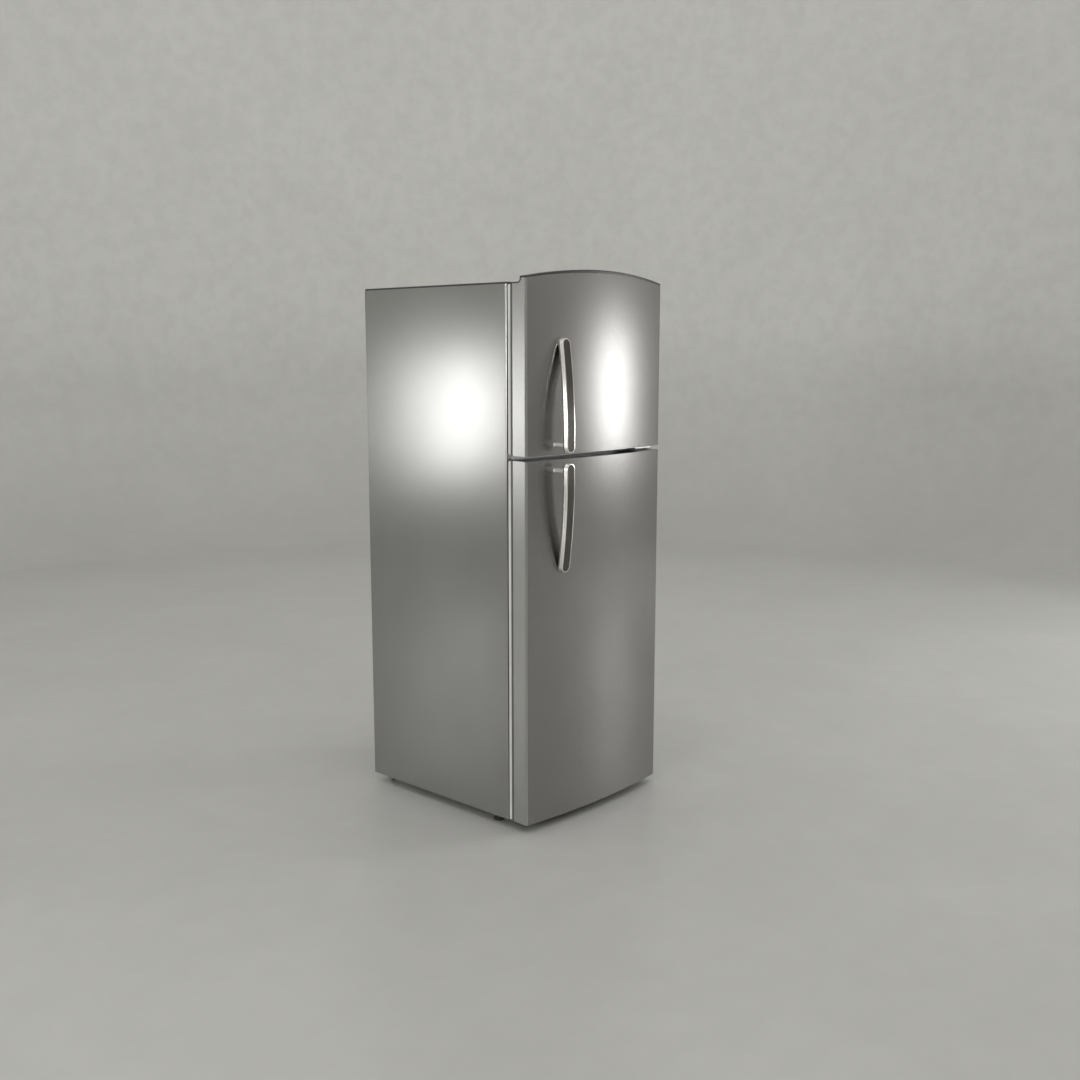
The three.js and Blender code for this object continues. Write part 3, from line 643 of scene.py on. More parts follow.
def cap_section(door, x, shell):
    """Section of the upper door's top cap at x, in (y, z). With shell it is the thin band that
    covers the side strip, and else it reaches down behind the sheet."""
    sizes = door.sizes
    front = door.front_y(x) + max(0.0, abs(x) - door.corner_x)
    sheet = door.sheet_top(x) + 0.0003
    crest = crest_top(door, x)
    ledge = door.top + sizes.ledge
    step_y = FACE_Y - sizes.step
    band = sizes.ledge - 0.0003
    nose = min(0.0034, (crest - sheet) * 0.48)
    rear_nose = 0.003
    if shell:
        under = [(step_y - band, sheet), (front + 0.0006, sheet)]
    else:
        behind = front + sizes.skin + 0.0004
        under = [(behind, door.top + 0.0003), (behind, sheet), (front + 0.0006, sheet)]
    points = under
    for turn in quarter_turn(6):
        points.append((front + nose * (1 - math.cos(turn)), crest - nose * (1 - math.sin(turn))))
    for turn in quarter_turn(4):
        points.append((step_y - rear_nose * (1 - math.sin(turn)),
                       crest - rear_nose * (1 - math.cos(turn))))
    points += step_curve(door, crest, 0.0)
    soft = 0.0012
    for turn in quarter_turn(3):
        points.append((door.back - soft * (1 - math.sin(turn)),
                       ledge - soft * (1 - math.cos(turn))))
    points.append((door.back, door.top + 0.0003))
    if shell:
        points += reversed(step_curve(door, crest, band))
    return points


def arched_cap(door):
    """The dark top cap of the upper door, from its crest to its rear ledge."""
    bm = bmesh.new()
    columns = 72
    inside = door.half - door.strip - 0.0002
    loft(bm, [[(x, y, z) for y, z in cap_section(door, x, False)]
              for x in span(-inside, inside, columns)])
    for side in (-1, 1):
        loft(bm, [[(side * x, y, z) for y, z in cap_section(door, x, True)]
                  for x in span(inside - 0.0001, door.half, 6)])
    return bm


def side_strip(door, side):
    """The smooth strip along a door's side; on the upper door it rises under the cap's crest."""
    low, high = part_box(f"{door.body}_{side}_trim")
    bm = bmesh.new()
    if door.rise:
        band = door.sizes.ledge - 0.0003
        corner = 0.0015
        step_y = FACE_Y - door.sizes.step - band
        outline = [(high.y, low.z), (low.y, low.z), (low.y, door.shoulder)]
        outline += [(step_y - corner, door.shoulder), (step_y, door.shoulder - corner)]
        outline += step_curve(door, crest_top(door, door.half), band)
        outline.append((high.y, door.top + 0.0002))
    else:
        outline = [(high.y, low.z), (low.y, low.z), (low.y, high.z), (high.y, high.z)]
    soft = 0.0006
    middle = Vector(((low.y + high.y) / 2, (low.z + high.z) / 2))

    def shrunk(inset):
        return [(y + inset * (1 if y < middle.x else -1), z + inset * (1 if z < middle.y else -1))
                for y, z in outline]

    rings = []
    outer, inner = (low.x, high.x) if side == "left" else (high.x, low.x)
    inward = 1 if side == "left" else -1
    whole, part = inward * soft, inward * soft * 0.3
    for x, inset, lean in ((outer, soft, STRIP_LEAN), (outer + part, soft * 0.3, STRIP_LEAN),
                           (outer + whole, 0.0, STRIP_LEAN), (inner - whole, 0.0, 0.0),
                           (inner - part, soft * 0.3, 0.0), (inner, soft, 0.0)):
        rings.append([(x + inward * lean * (y - low.y), y, z) for y, z in shrunk(inset)])
    loft(bm, rings)
    return bm


def gasket(door):
    """A soft seal with two folds and a magnet tube, on round-cornered loops."""
    bm = bmesh.new()
    profile = [(24, -14.7), (1.8, -14.7), (1.2, -14.0), (1.2, -4.8), (1.8, -3.9), (3.5, -3.6),
               (7.4, -3.3), (8.6, -2.4), (9.2, -1.2), (10.4, -0.6), (18.6, -0.6), (19.6, -1.2),
               (20.0, -2.4), (20.6, -3.4), (22.8, -4.0), (24, -5.0)]
    rings = []
    for inset, y in profile:
        inset, y = inset / 1000, y / 1000
        rings.append(upright_loop(door.half - inset, door.foot + inset, door.top - inset,
                                  max(0.002, 0.006 - inset * 0.2), FACE_Y + y))
    loft(bm, rings, ends=False, around=True)
    magnet = FACE_Y - 0.00355
    for face in bm.faces:
        if face.calc_center_median().y > magnet:
            face.material_index = 1
    return bm


def rim(door):
    """A frame between a door's side strips and its seal, coloured dark grey as painted shade for
    the shadowed recess there.
    """
    bm = bmesh.new()
    loops = []
    for inset, y in ((0.0008, -0.0215), (0.0004, -0.0210), (0.0004, -0.0156), (0.0010, -0.0150),
                     (0.0026, -0.0150), (0.0026, -0.0215)):
        loops.append(upright_loop(door.half - inset, door.foot + inset, door.top - inset, 0.002,
                                  FACE_Y + y))
    loft(bm, loops, ends=False, around=True)
    return bm


def door_liner(door):
    """The moulded white back of a door: flange, raised ridge and sunken middle."""
    bm = bmesh.new()
    above_foot, below_top = RIDGE_MARGIN[door.body]
    low, high = door.foot + above_foot, door.top - below_top
    outer, inner, rail = 0.270, 0.222, 0.022

    def ridge(offset, y, radius):
        return upright_loop(outer - offset, low + offset, high - offset, radius, FACE_Y + y)

    def well(offset, y, radius):
        return upright_loop(inner + offset, low + rail - offset, high - rail + offset, radius,
                            FACE_Y + y)

    loops = [upright_loop(0.3168, door.foot + 0.003, door.top - 0.003, 0.003, FACE_Y - 0.0212),
             upright_loop(0.3168, door.foot + 0.003, door.top - 0.003, 0.003, FACE_Y - 0.0156),
             upright_loop(0.3160, door.foot + 0.0038, door.top - 0.0038, 0.003, FACE_Y - 0.0150)]
    loops += [ridge(-0.006, -0.0150, 0.020), ridge(-0.0022, -0.0140, 0.018),
              ridge(-0.0005, -0.0110, 0.016), ridge(0.0, -0.0070, 0.016),
              ridge(0.0003, 0.0100, 0.016), ridge(0.0018, 0.0148, 0.015),
              ridge(0.0048, 0.0174, 0.013), ridge(0.0085, 0.0180, 0.010)]
    loops += [well(0.0080, 0.0180, 0.016), well(0.0045, 0.0170, 0.014),
              well(0.0016, 0.0140, 0.012), well(0.0004, 0.0090, 0.012),
              well(0.0, -0.0080, 0.012), well(-0.0010, -0.0120, 0.012),
              well(-0.0040, -0.0144, 0.010), well(-0.0090, -0.0150, 0.008)]
    # a shallow sunken panel inside the ridge stiffens the sheet
    loops += [well(-0.030, -0.0150, 0.014), well(-0.033, -0.0164, 0.012),
              well(-0.038, -0.0170, 0.010)]
    loft(bm, loops, ends=False)
    bm.faces.new([bm.verts[i] for i in last_ring(bm, len(loops[-1]))])
    return bm


def door_core(door):
    """The foam between a door's sheet and its moulded back."""
    bm = bmesh.new()
    cap, clear = 0.0203, 0.0022
    line = [p for p in door.front_line(door.sizes.skin + clear, 32) if abs(p.x) < door.half - 0.009]
    side = door.half - 0.0075
    plan = [(-side, door.rim), *((p.x, p.y) for p in line), (side, door.rim)]
    rings = [[(x, y, z) for x, y in plan] for z in (door.foot + cap, door.top - cap)]
    loft(bm, rings)
    return bm


def last_ring(bm, count):
    bm.verts.ensure_lookup_table()
    return range(len(bm.verts) - count, len(bm.verts))


def thicken(made, depth):
    """Gives an open sheet its wall, on the side away from its faces' front."""
    wall = made.modifiers.new("wall", "SOLIDIFY")
    wall.thickness = depth
    wall.offset = -1.0
    wall.use_even_offset = True


# ---------------------------------------------------------------- handles
class Handle:
    """One bar: near is its end by the post, away is +1 where the far end is above it."""

    def __init__(self, door, sizes):
        low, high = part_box(f"{door.body}_handle_bar")
        post_low, post_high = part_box(f"{door.body}_handle_post")
        post_z = (post_low.z + post_high.z) / 2
        self.door, self.sizes = door, sizes
        self.away = 1 if post_z < (low.z + high.z) / 2 else -1
        self.near = low.z if self.away > 0 else high.z
        self.length = high.z - low.z
        self.radius = sizes.width / 2
        self.middle = (post_low.x + post_high.x) / 2
        self.front = low.y
        self.thick = post_low.y - low.y

    def place(self, across, along, depth):
        sizes = self.sizes
        share = max(0.0, (along - sizes.straight) / (self.length - sizes.straight)) ** 2
        x = self.middle + across + sizes.lean * share
        y = self.front + sizes.bend * share + depth
        return Vector((x, min(y, self.door.front_y(x) + 0.0004), self.near + self.away * along))


def bar_outline(handle, inset, end_steps=14, straight_steps=44):
    """Half of the bar's outline at an inset, as (half width, distance along) from end to end."""
    radius = handle.radius - inset
    points = []
    for turn in quarter_turn(end_steps):
        points.append((radius * math.sin(turn), handle.radius - radius * math.cos(turn)))
    span = handle.length - 2 * handle.radius
    for i in range(1, straight_steps):
        points.append((radius, handle.radius + span * i / straight_steps))
    for turn in quarter_turn(end_steps):
        points.append((radius * math.cos(turn),
                       handle.length - handle.radius + radius * math.sin(turn)))
    return points


def handle_bar(handle):
    """A flat-faced bar with a polished rim, a grooved side and round ends."""
    bm = bmesh.new()
    rim_width, groove = handle.sizes.chamfer, handle.sizes.groove
    layers = [(rim_width, 0.0), (rim_width * 0.90, 0.00004), (0.0024, 0.00022), (0.0021, 0.0006),
              (0.0006, 0.0046), (groove + 0.0005, 0.0051), (groove + 0.0005, 0.0062),
              (0.0016, 0.0064), (0.0001, 0.0098), (0.0, 0.0104), (0.0, 0.0150),
              (0.0006, 0.0163), (0.0020, handle.thick)]
    # the groove's floor takes the near-black groove material, painted shade in the groove
    band = {3: 3, 5: 2, 7: 3, 8: 3, 9: 3}  # the groove's floor is 2 and the two flanks are 3
    rows = []
    for inset, depth in layers:
        half = bar_outline(handle, inset)
        right = [bm.verts.new(handle.place(u, s, depth)) for u, s in half[1:-1]]
        left = [bm.verts.new(handle.place(-u, s, depth)) for u, s in half[1:-1]]
        start = bm.verts.new(handle.place(0.0, half[0][1], depth))
        end = bm.verts.new(handle.place(0.0, half[-1][1], depth))
        rows.append((start, right, end, left))
    for level, (front, behind) in enumerate(zip(rows, rows[1:])):
        loop_a = [front[0], *front[1], front[2], *reversed(front[3])]
        loop_b = [behind[0], *behind[1], behind[2], *reversed(behind[3])]
        for i in range(len(loop_a)):
            j = (i + 1) % len(loop_a)
            face = bm.faces.new((loop_a[i], loop_a[j], loop_b[j], loop_b[i]))
            face.material_index = band.get(level, 1)
    for row, index in ((rows[0], 0), (rows[-1], 1)):
        start, right, end, left = row
        bm.faces.new((start, right[0], left[0])).material_index = index
        bm.faces.new((end, left[-1], right[-1])).material_index = index
        for i in range(len(right) - 1):
            bm.faces.new((right[i], right[i + 1], left[i + 1], left[i])).material_index = index
    return bm


def handle_post(handle):
    """A short flat stay from the back of the bar to the door."""
    low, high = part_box(f"{handle.door.body}_handle_post")
    bm = bmesh.new()
    door_y = handle.door.front_y(low.x) + 0.0006
    waist, draft = 0.0006, 0.0022
    rings = []
    for share, swell in ((0.0, 0.0), (0.04, 0.4), (0.16, 0.9), (0.5, 1.0), (0.82, 0.8), (0.95, 0.0),
                         (1.0, -1.0)):
        inset = waist * swell
        side = inset + draft * (1 - share)
        rings.append(rounded_loop((low.x + side, low.z + inset), (high.x - side, high.z - inset),
                                  0.0022, facing(lerp(low.y, door_y, share))))
    loft(bm, rings)
    return bm


# ---------------------------------------------------------------- containers
def container(bm, low, high, wall, radius, floor_radius=0.006, flare=0.0, lip=0.0, material=0):
    """An open-topped container with round corners, a soft foot and a rolled lip."""
    low, high = Vector(low), Vector(high)
    outer = [(floor_radius, 0.0), (floor_radius * 0.3, floor_radius * 0.3), (0.0, floor_radius)]
    height = high.z - low.z
    sides = [(flare * (1 - z / height) + inset, z) for inset, z in outer]
    sides += [(lip, height - 0.010), (lip, height - 0.006), (0.0, height - 0.005),
              (0.0, height - 0.0010), (0.0007, height)]
    sides += [(wall + lip * 0.5, height), (wall + lip, height - 0.0014)]
    for inset, z in reversed(outer):
        sides.append((flare * (1 - z / height) + wall + inset, z + wall))
    rings = [flat_loop(low, high, inset, max(0.003, radius - inset), low.z + z)
             for inset, z in sides]
    loft(bm, rings, material=material)


def ribs(bm, along, across, z, size, material=0):
    """A row of small ribs: along is a list of x, across and z are spans."""
    for x in along:
        block(bm, (x - size, across[0], z[0]), (x + size, across[1], z[1]), size * 0.8, 2, material)


def span(low, high, count):
    return [lerp(low, high, i / (count - 1)) for i in range(count)]


def screw(bm, centre, axis, radius=0.004, material=0):
    """A domed screw head."""
    turned(bm, centre, axis, [(radius, 0.0), (radius, radius * 0.2), (radius * 0.8, radius * 0.5),
                              (radius * 0.3, radius * 0.66), (0.0, radius * 0.68)], 20,
           material=material)


# ---------------------------------------------------------------- operators
class FRIDGE_OT_stage(bpy.types.Operator):
    """Sets up the camera, the pale floor with its curved wall, and the lights"""

    bl_idname = "fridge.stage"
    bl_label = "Stage"

    def execute(self, context):
        sizes = context.scene.fridge_stage
        camera = bpy.data.objects.new("camera", bpy.data.cameras.new("camera"))
        context.scene.collection.objects.link(camera)
        camera.location = sizes.camera_place
        camera.rotation_euler = Euler((sizes.camera_tilt, 0.0, sizes.camera_heading))
        camera.data.lens = sizes.lens
        camera.data.sensor_width = 36.0
        context.scene.camera = camera
        context.scene.view_settings.view_transform = "Standard"
        self.floor(context, sizes)
        self.lights(context, sizes)
        return {"FINISHED"}

    def floor(self, context, sizes):
        made = bpy.data.materials.new("studio floor")
        made.use_nodes = True
        tree = made.node_tree
        shader = tree.nodes["Principled BSDF"]
        pale = tuple(sizes.floor_tint)
        place = node(tree, "ShaderNodeTexCoord")
        split = node(tree, "ShaderNodeSeparateXYZ")
        tree.links.new(place.outputs["Object"], split.inputs["Vector"])
        # The wall is painted up to 1.42 times brighter than the floor, rising with height through
        # the cove to about 1.9 m: painted light on the wall.
        height = clipped(tree, split.outputs["Z"], 0.05, sizes.cove * 1.6)
        tone = mixed(tree, height, pale, shaded(pale, 1.42))
        cloud = placed(tree, "mottle", Size=1.3, Amount=0.22)
        tone = mixed(tree, cloud.outputs["Mask"], tone, shaded(pale, 1.22))
        fine = placed(tree, "mottle", Size=9.0, Amount=0.16)
        tree.links.new(mixed(tree, fine.outputs["Mask"], tone, shaded(pale, 0.86)),
                       shader.inputs["Base Color"])
        shader.inputs["Roughness"].default_value = 0.34
        shader.inputs["Specular IOR Level"].default_value = 0.45
        bm = bmesh.new()
        profile = [(0.0, 0.0), (1.0, 0.0), (2.4, 0.0), (sizes.floor_radius, 0.0)]
        for i in range(1, 17):
            turn = math.pi / 2 * i / 16
            profile.append((sizes.floor_radius + sizes.cove * math.sin(turn),
                            sizes.cove * (1 - math.cos(turn))))
        profile.append((sizes.floor_radius + sizes.cove, sizes.wall))
        rings = [circle((0, 0, z), max(r, 1e-3), (0, 0, 1), FLOOR_SIDES) for r, z in profile]
        loft(bm, rings, ends=False)
        bm.verts.ensure_lookup_table()
        bm.faces.new([bm.verts[i] for i in reversed(range(FLOOR_SIDES))])
        bmesh.ops.recalc_face_normals(bm, faces=bm.faces)
        for face in bm.faces:
            face.smooth = True
        mesh = bpy.data.meshes.new("studio_floor")
        bm.to_mesh(mesh)
        bm.free()
        mesh.materials.append(made)
        floor = bpy.data.objects.new("studio_floor", mesh)
        context.scene.collection.objects.link(floor)

    def lights(self, context, sizes):
        world = bpy.data.worlds.new("room")
        world.use_nodes = True
        air = world.node_tree.nodes["Background"]
        air.inputs["Color"].default_value = (0.985, 0.975, 0.955, 1.0)
        air.inputs["Strength"].default_value = sizes.air
        context.scene.world = world
        side = SIDE_SPOT[0] + SIDE_SPOT[1] * LIGHT_REACH
        front = FRONT_SPOT[0] + FRONT_SPOT[1] * LIGHT_REACH
        self.lamp(context, "side_light", side, (0.30, 0.78), sizes.side_power)
        self.lamp(context, "front_light", front, (0.80, 0.80), sizes.front_power)
        self.lamp(context, "top_light", TOP_PLACE, (3.4, 3.4), sizes.top_power)
        for name, way in FILL_WAYS.items():
            fill = self.lamp(context, name, HANDLE_SPOT + way * LIGHT_REACH, (0.9, 0.9),
                             sizes.fill_power)
            fill.visible_glossy = name == "side_fill"

    def lamp(self, context, name, place, size, power):
        """A soft rectangular light that faces the refrigerator and isn't seen itself."""
        data = bpy.data.lights.new(name, "AREA")
        data.shape = "RECTANGLE"
        data.size, data.size_y = size
        data.energy = power
        made = bpy.data.objects.new(name, data)
        made.location = place
        made.rotation_euler = (place - LIGHT_AIM).to_track_quat("Z", "Y").to_euler()
        made.visible_camera = False
        context.scene.collection.objects.link(made)
        return made


class FRIDGE_OT_finishes(bpy.types.Operator):
    """Builds the shared surface effects and every material"""

    bl_idname = "fridge.finishes"
    bl_label = "Finishes"

    def execute(self, context):
        for name, make in EFFECTS.items():
            effects[name] = make()
        make_finishes(context.scene.fridge_colours)
        return {"FINISHED"}


class FRIDGE_OT_cabinet(bpy.types.Operator):
    """Builds the side sheets, the top, the back sheet and the base"""

    bl_idname = "fridge.cabinet"
    bl_label = "Cabinet"

    def execute(self, context):
        for side, node_name in ((-1, "left_side_panel"), (1, "right_side_panel")):
            self.side_sheet(side, node_name)
        self.face_frame()
        self.top_panel()
        self.back_sheet()
        dress("base_pan", finishes["plated steel"], 0.0006)
        dress("front_mullion", finishes["plated steel"], 0.0008)
        dress("cabinet_foam", finishes["back sheet"])  # its bare face is the machine space's lining
        return {"FINISHED"}

    def side_sheet(self, side, node_name):
        low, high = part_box(node_name)
        out = side * HALF_WIDTH
        inner = low.x if side > 0 else high.x
        inward = -side

        def plan(depth, y):
            return (out + inward * depth, y)

        hem, soft = low.y + 0.0046, 0.0005
        outline = [plan(0.0009, low.y), plan(0.0003, low.y + 0.0003), plan(0.0, low.y + 0.0009),
                   plan(0.0, hem - 0.0006), plan(0.0004, hem - 0.0002), plan(0.0007, hem + 0.0002),
                   plan(0.0004, hem + 0.0008), plan(0.0, hem + 0.0012),
                   plan(0.0, high.y - 0.0012), plan(0.0004, high.y - 0.0003),
                   plan(0.0009, high.y)]
        ring = outline + [(inner, high.y), (inner, low.y)]
        bm = bmesh.new()
        rings = []
        for z, inset in ((low.z, soft), (low.z + soft, 0.0), (lerp(low.z, high.z, 0.5), 0.0),
                         (high.z - soft, 0.0), (high.z, soft)):
            rings.append([(x + inward * inset if i < len(outline) else x, y, z)
                          for i, (x, y) in enumerate(ring)])
        loft(bm, rings)
        name = "side_sheet_left" if side < 0 else "side_sheet_right"
        piece(name, bm, finishes["side steel"], "cabinet", [node_name], 25)

    def face_frame(self):
        """The folded-in front of the cabinet's sheet, a flat frame that the seals close on."""
        low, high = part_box("fresh_food_liner")[0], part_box("freezer_liner")[1]
        bm = bmesh.new()
        loops = []
        for inset, y in ((0.0002, 0.0), (0.0002, -0.0003), (0.0180, -0.0003), (0.0180, 0.0)):
            loops.append(upright_loop(high.x - inset, low.z + inset, high.z - inset, 0.001,
                                      FACE_Y + y))
        loft(bm, loops, ends=False, around=True)
        piece("cabinet_face_frame", bm, finishes["side steel"], "cabinet")

    def top_panel(self):
        low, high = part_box("top_panel")
        bm = bmesh.new()
        loops = []
        for inset, z, radius in ((0.0010, low.z, 0.003), (0.0, low.z + 0.0010, 0.004),
                                 (0.0, high.z - 0.0026, 0.004), (0.0006, high.z - 0.0010, 0.004),
                                 (0.0020, high.z - 0.0001, 0.004), (0.0035, high.z, 0.005),
                                 (0.0140, high.z, 0.006), (0.0160, high.z - 0.0008, 0.006)):
            loops.append(flat_loop(low, high, inset, radius, z))
        loft(bm, loops)
        piece("cabinet_top", bm, finishes["dark cap"], "cabinet", ["top_panel"])

    def back_sheet(self):
        low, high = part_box("back_panel")
        bm = bmesh.new()

        def loop(inset, y, radius):
            return rounded_loop((low.x + inset, low.z + inset), (high.x - inset, high.z - inset),
                                radius, facing(y))

        raised = 0.0016
        loops = [loop(0.0, low.y, 0.002), loop(0.0, high.y - 0.0004, 0.002),
                 loop(0.0004, high.y, 0.002), loop(0.030, high.y, 0.010),
                 loop(0.034, high.y + raised * 0.8, 0.012), loop(0.038, high.y + raised, 0.012),
                 loop(0.070, high.y + raised, 0.016), loop(0.074, high.y + raised * 0.8, 0.014),
                 loop(0.078, high.y, 0.012)]
        loft(bm, loops)
        edge = 0.014
        for x in span(low.x + edge, high.x - edge, 4):
            for z in (low.z + edge, high.z - edge):
                screw(bm, (x, high.y, z), (0, 1, 0), 0.0042, 1)
        for z in span(low.z + edge, high.z - edge, 6)[1:-1]:
            for x in (low.x + edge, high.x - edge):
                screw(bm, (x, high.y, z), (0, 1, 0), 0.0042, 1)
        piece("back_sheet", bm, [finishes["back sheet"], finishes["plated steel"]], "cabinet",
              ["back_panel"])


class FRIDGE_OT_doors(bpy.types.Operator):
    """Builds the bowed fronts, side strips, caps, rims, seals and moulded backs of the doors"""

    bl_idname = "fridge.doors"
    bl_label = "Doors"

    def execute(self, context):
        for body in DOORS:
            door = Door(body, context.scene.fridge_doors)
            piece(f"{body}_skin", door_skin(door), [finishes["door steel"],
                  finishes["silver trim"]], body,
                  [f"{body}_front_panel"], 25)
            for side in ("left", "right"):
                piece(f"{body}_{side}_strip", side_strip(door, side), finishes["silver trim"],
                      body, [f"{body}_{side}_trim"])
            # the rim's dark grey is painted shade in the recess behind the side strips
            piece(f"{body}_rim", rim(door), finishes["painted shade frame"], body)
            piece(f"{body}_seal", gasket(door), [finishes["gasket vinyl"], finishes["rubber"]],
                  body,
                  [f"{body}_gasket"], 50)
            back = piece(f"{body}_moulded_back", door_liner(door), finishes["liner plastic"], body,
                         [f"{body}_liner"], 50)
            self.face_back(back)
            thicken(back, 0.0018)
            piece(f"{body}_core", door_core(door), finishes["foam"], body,
                  [f"{body}_foam"])
            dress(f"{body}_bottom_cap", finishes["dark cap"], 0.0008)
            if body == ARCHED:
                piece(f"{body}_crest", arched_cap(door), finishes["dark cap"], body,
                      [f"{body}_top_cap"], 40)
            else:
                dress(f"{body}_top_cap", finishes["dark cap"], 0.0008)
        return {"FINISHED"}

    def face_back(self, made):
        """Turns the sheet's faces to look out of the door's back."""
        mesh = made.data
        if sum(face.normal.y * face.area for face in mesh.polygons) < 0:
            mesh.flip_normals()


class FRIDGE_OT_handles(bpy.types.Operator):
    """Builds the two bent bars and their posts"""

    bl_idname = "fridge.handles"
    bl_label = "Handles"

    def execute(self, context):
        for body in DOORS:
            door = Door(body, context.scene.fridge_doors)
            handle = Handle(door, context.scene.fridge_handles)
            materials = [finishes[name] for name in ("brushed bar", "polished rim", "groove",
                                                     "satin side")]
            piece(f"{body}_bar", handle_bar(handle), materials, body,
                  [f"{body}_handle_bar"], 28)
            piece(f"{body}_stay", handle_post(handle), finishes["satin stay"], body,
                  [f"{body}_handle_post"], 40)
        return {"FINISHED"}


class FRIDGE_OT_hinges(bpy.types.Operator):
    """Builds the hinge plates with their screws and bushes, and the cover of the top one"""

    bl_idname = "fridge.hinges"
    bl_label = "Hinges"

    def execute(self, context):
        self.top_hinge()
        self.centre_hinge()
        self.bottom_hinge()
        return {"FINISHED"}

    def top_hinge(self):
        low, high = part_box("top_hinge")
        cover_low, cover_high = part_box("top_hinge_cover")
        pin = Vector((high.x - 0.0143, low.y + 0.011))
        plate = CABINET_TOP + 0.0003
        bm = bmesh.new()
        block(bm, (0.228, FACE_Y + 0.004, plate), (0.309, FACE_Y + 0.090, plate + 0.003), 0.0009)
        block(bm, (0.294, pin.y, plate + 0.0001), (0.309, FACE_Y + 0.006, plate + 0.0029), 0.0009)
        turned(bm, (0.306, pin.y, plate), (0, 0, 1),
               [(0.0102, 0.0), (0.011, 0.0008), (0.011, 0.0042), (0.0102, 0.005), (0.0, 0.005)])
        turned(bm, (0.306, pin.y, low.z), (0, 0, 1),
               [(0.0, 0.0), (0.0032, 0.0), (0.004, 0.0012), (0.004, plate - low.z + 0.001)], 28)
        for x, y in ((0.246, 0.030), (0.280, 0.030), (0.263, 0.070)):
            screw(bm, (x, FACE_Y + y, plate + 0.003), (0, 0, 1), 0.005)
        piece("top_hinge_plate", bm, finishes["plated steel"], "cabinet",
              ["top_hinge"])
        bm = bmesh.new()
        shape = [(0.0, 0.0), (0.0, 0.006), (0.0008, 0.010), (0.0026, 0.0130), (0.006, 0.0152),
                 (0.010, 0.0160)]
        rings = [flat_loop(cover_low, cover_high, inset, 0.010, cover_low.z + z)
                 for inset, z in shape]
        inner = [flat_loop(cover_low, cover_high, inset + 0.0022, 0.008,
                           max(cover_low.z, cover_low.z + z - 0.0022)) for inset, z in shape]
        loft(bm, list(reversed(inner)) + rings)
        screw(bm, ((cover_low.x + cover_high.x) / 2, (cover_low.y + cover_high.y) / 2,
                   cover_low.z + 0.0155), (0, 0, 1), 0.0045)
        piece("top_hinge_cap", bm, finishes["dark cap"], "cabinet",
              ["top_hinge_cover"])

    def centre_hinge(self):
        low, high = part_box("centre_hinge")
        bm = bmesh.new()
        pin_x, pin_y = 0.306, FACE_Y - 0.038
        plate_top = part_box("freezer_door_bottom_cap")[0].z - 0.0032
        block(bm, (low.x, low.y, plate_top - 0.008), (high.x, high.y, plate_top), 0.0014)
        turned(bm, (pin_x, pin_y, low.z), (0, 0, 1),
               [(0.0, 0.0), (0.0034, 0.0), (0.004, 0.0012), (0.004, high.z - low.z - 0.0012),
                (0.0034, high.z - low.z), (0.0, high.z - low.z)], 28)
        turned(bm, (pin_x, pin_y, plate_top - 0.0004), (0, 0, 1),
               [(0.009, 0.0), (0.009, 0.0012), (0.0085, 0.0018), (0.0, 0.0018)])
        piece("centre_hinge_plate", bm, finishes["plated steel"], "cabinet",
              ["centre_hinge"])

    def bottom_hinge(self):
        low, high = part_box("bottom_hinge")
        bm = bmesh.new()
        pin_x, pin_y = 0.306, FACE_Y - 0.038
        block(bm, (low.x, low.y, low.z), (high.x, high.y, low.z + 0.005), 0.0014)
        block(bm, (low.x, FACE_Y + 0.005, low.z + 0.004), (high.x, high.y, 0.0277), 0.0012)
        turned(bm, (pin_x, pin_y, low.z + 0.001), (0, 0, 1),
               [(0.004, 0.0), (0.004, high.z - low.z - 0.0022), (0.0034, high.z - low.z - 0.001),
                (0.0, high.z - low.z - 0.001)], 28)
        turned(bm, (pin_x, pin_y, low.z + 0.0048), (0, 0, 1),
               [(0.009, 0.0), (0.009, 0.0014), (0.0084, 0.0022), (0.0, 0.0022)])
        for x in (0.256, 0.286):
            screw(bm, (x, FACE_Y + 0.022, low.z), (0, 0, -1), 0.005)
        piece("bottom_hinge_plate", bm, finishes["plated steel"], "cabinet",
              ["bottom_hinge"])


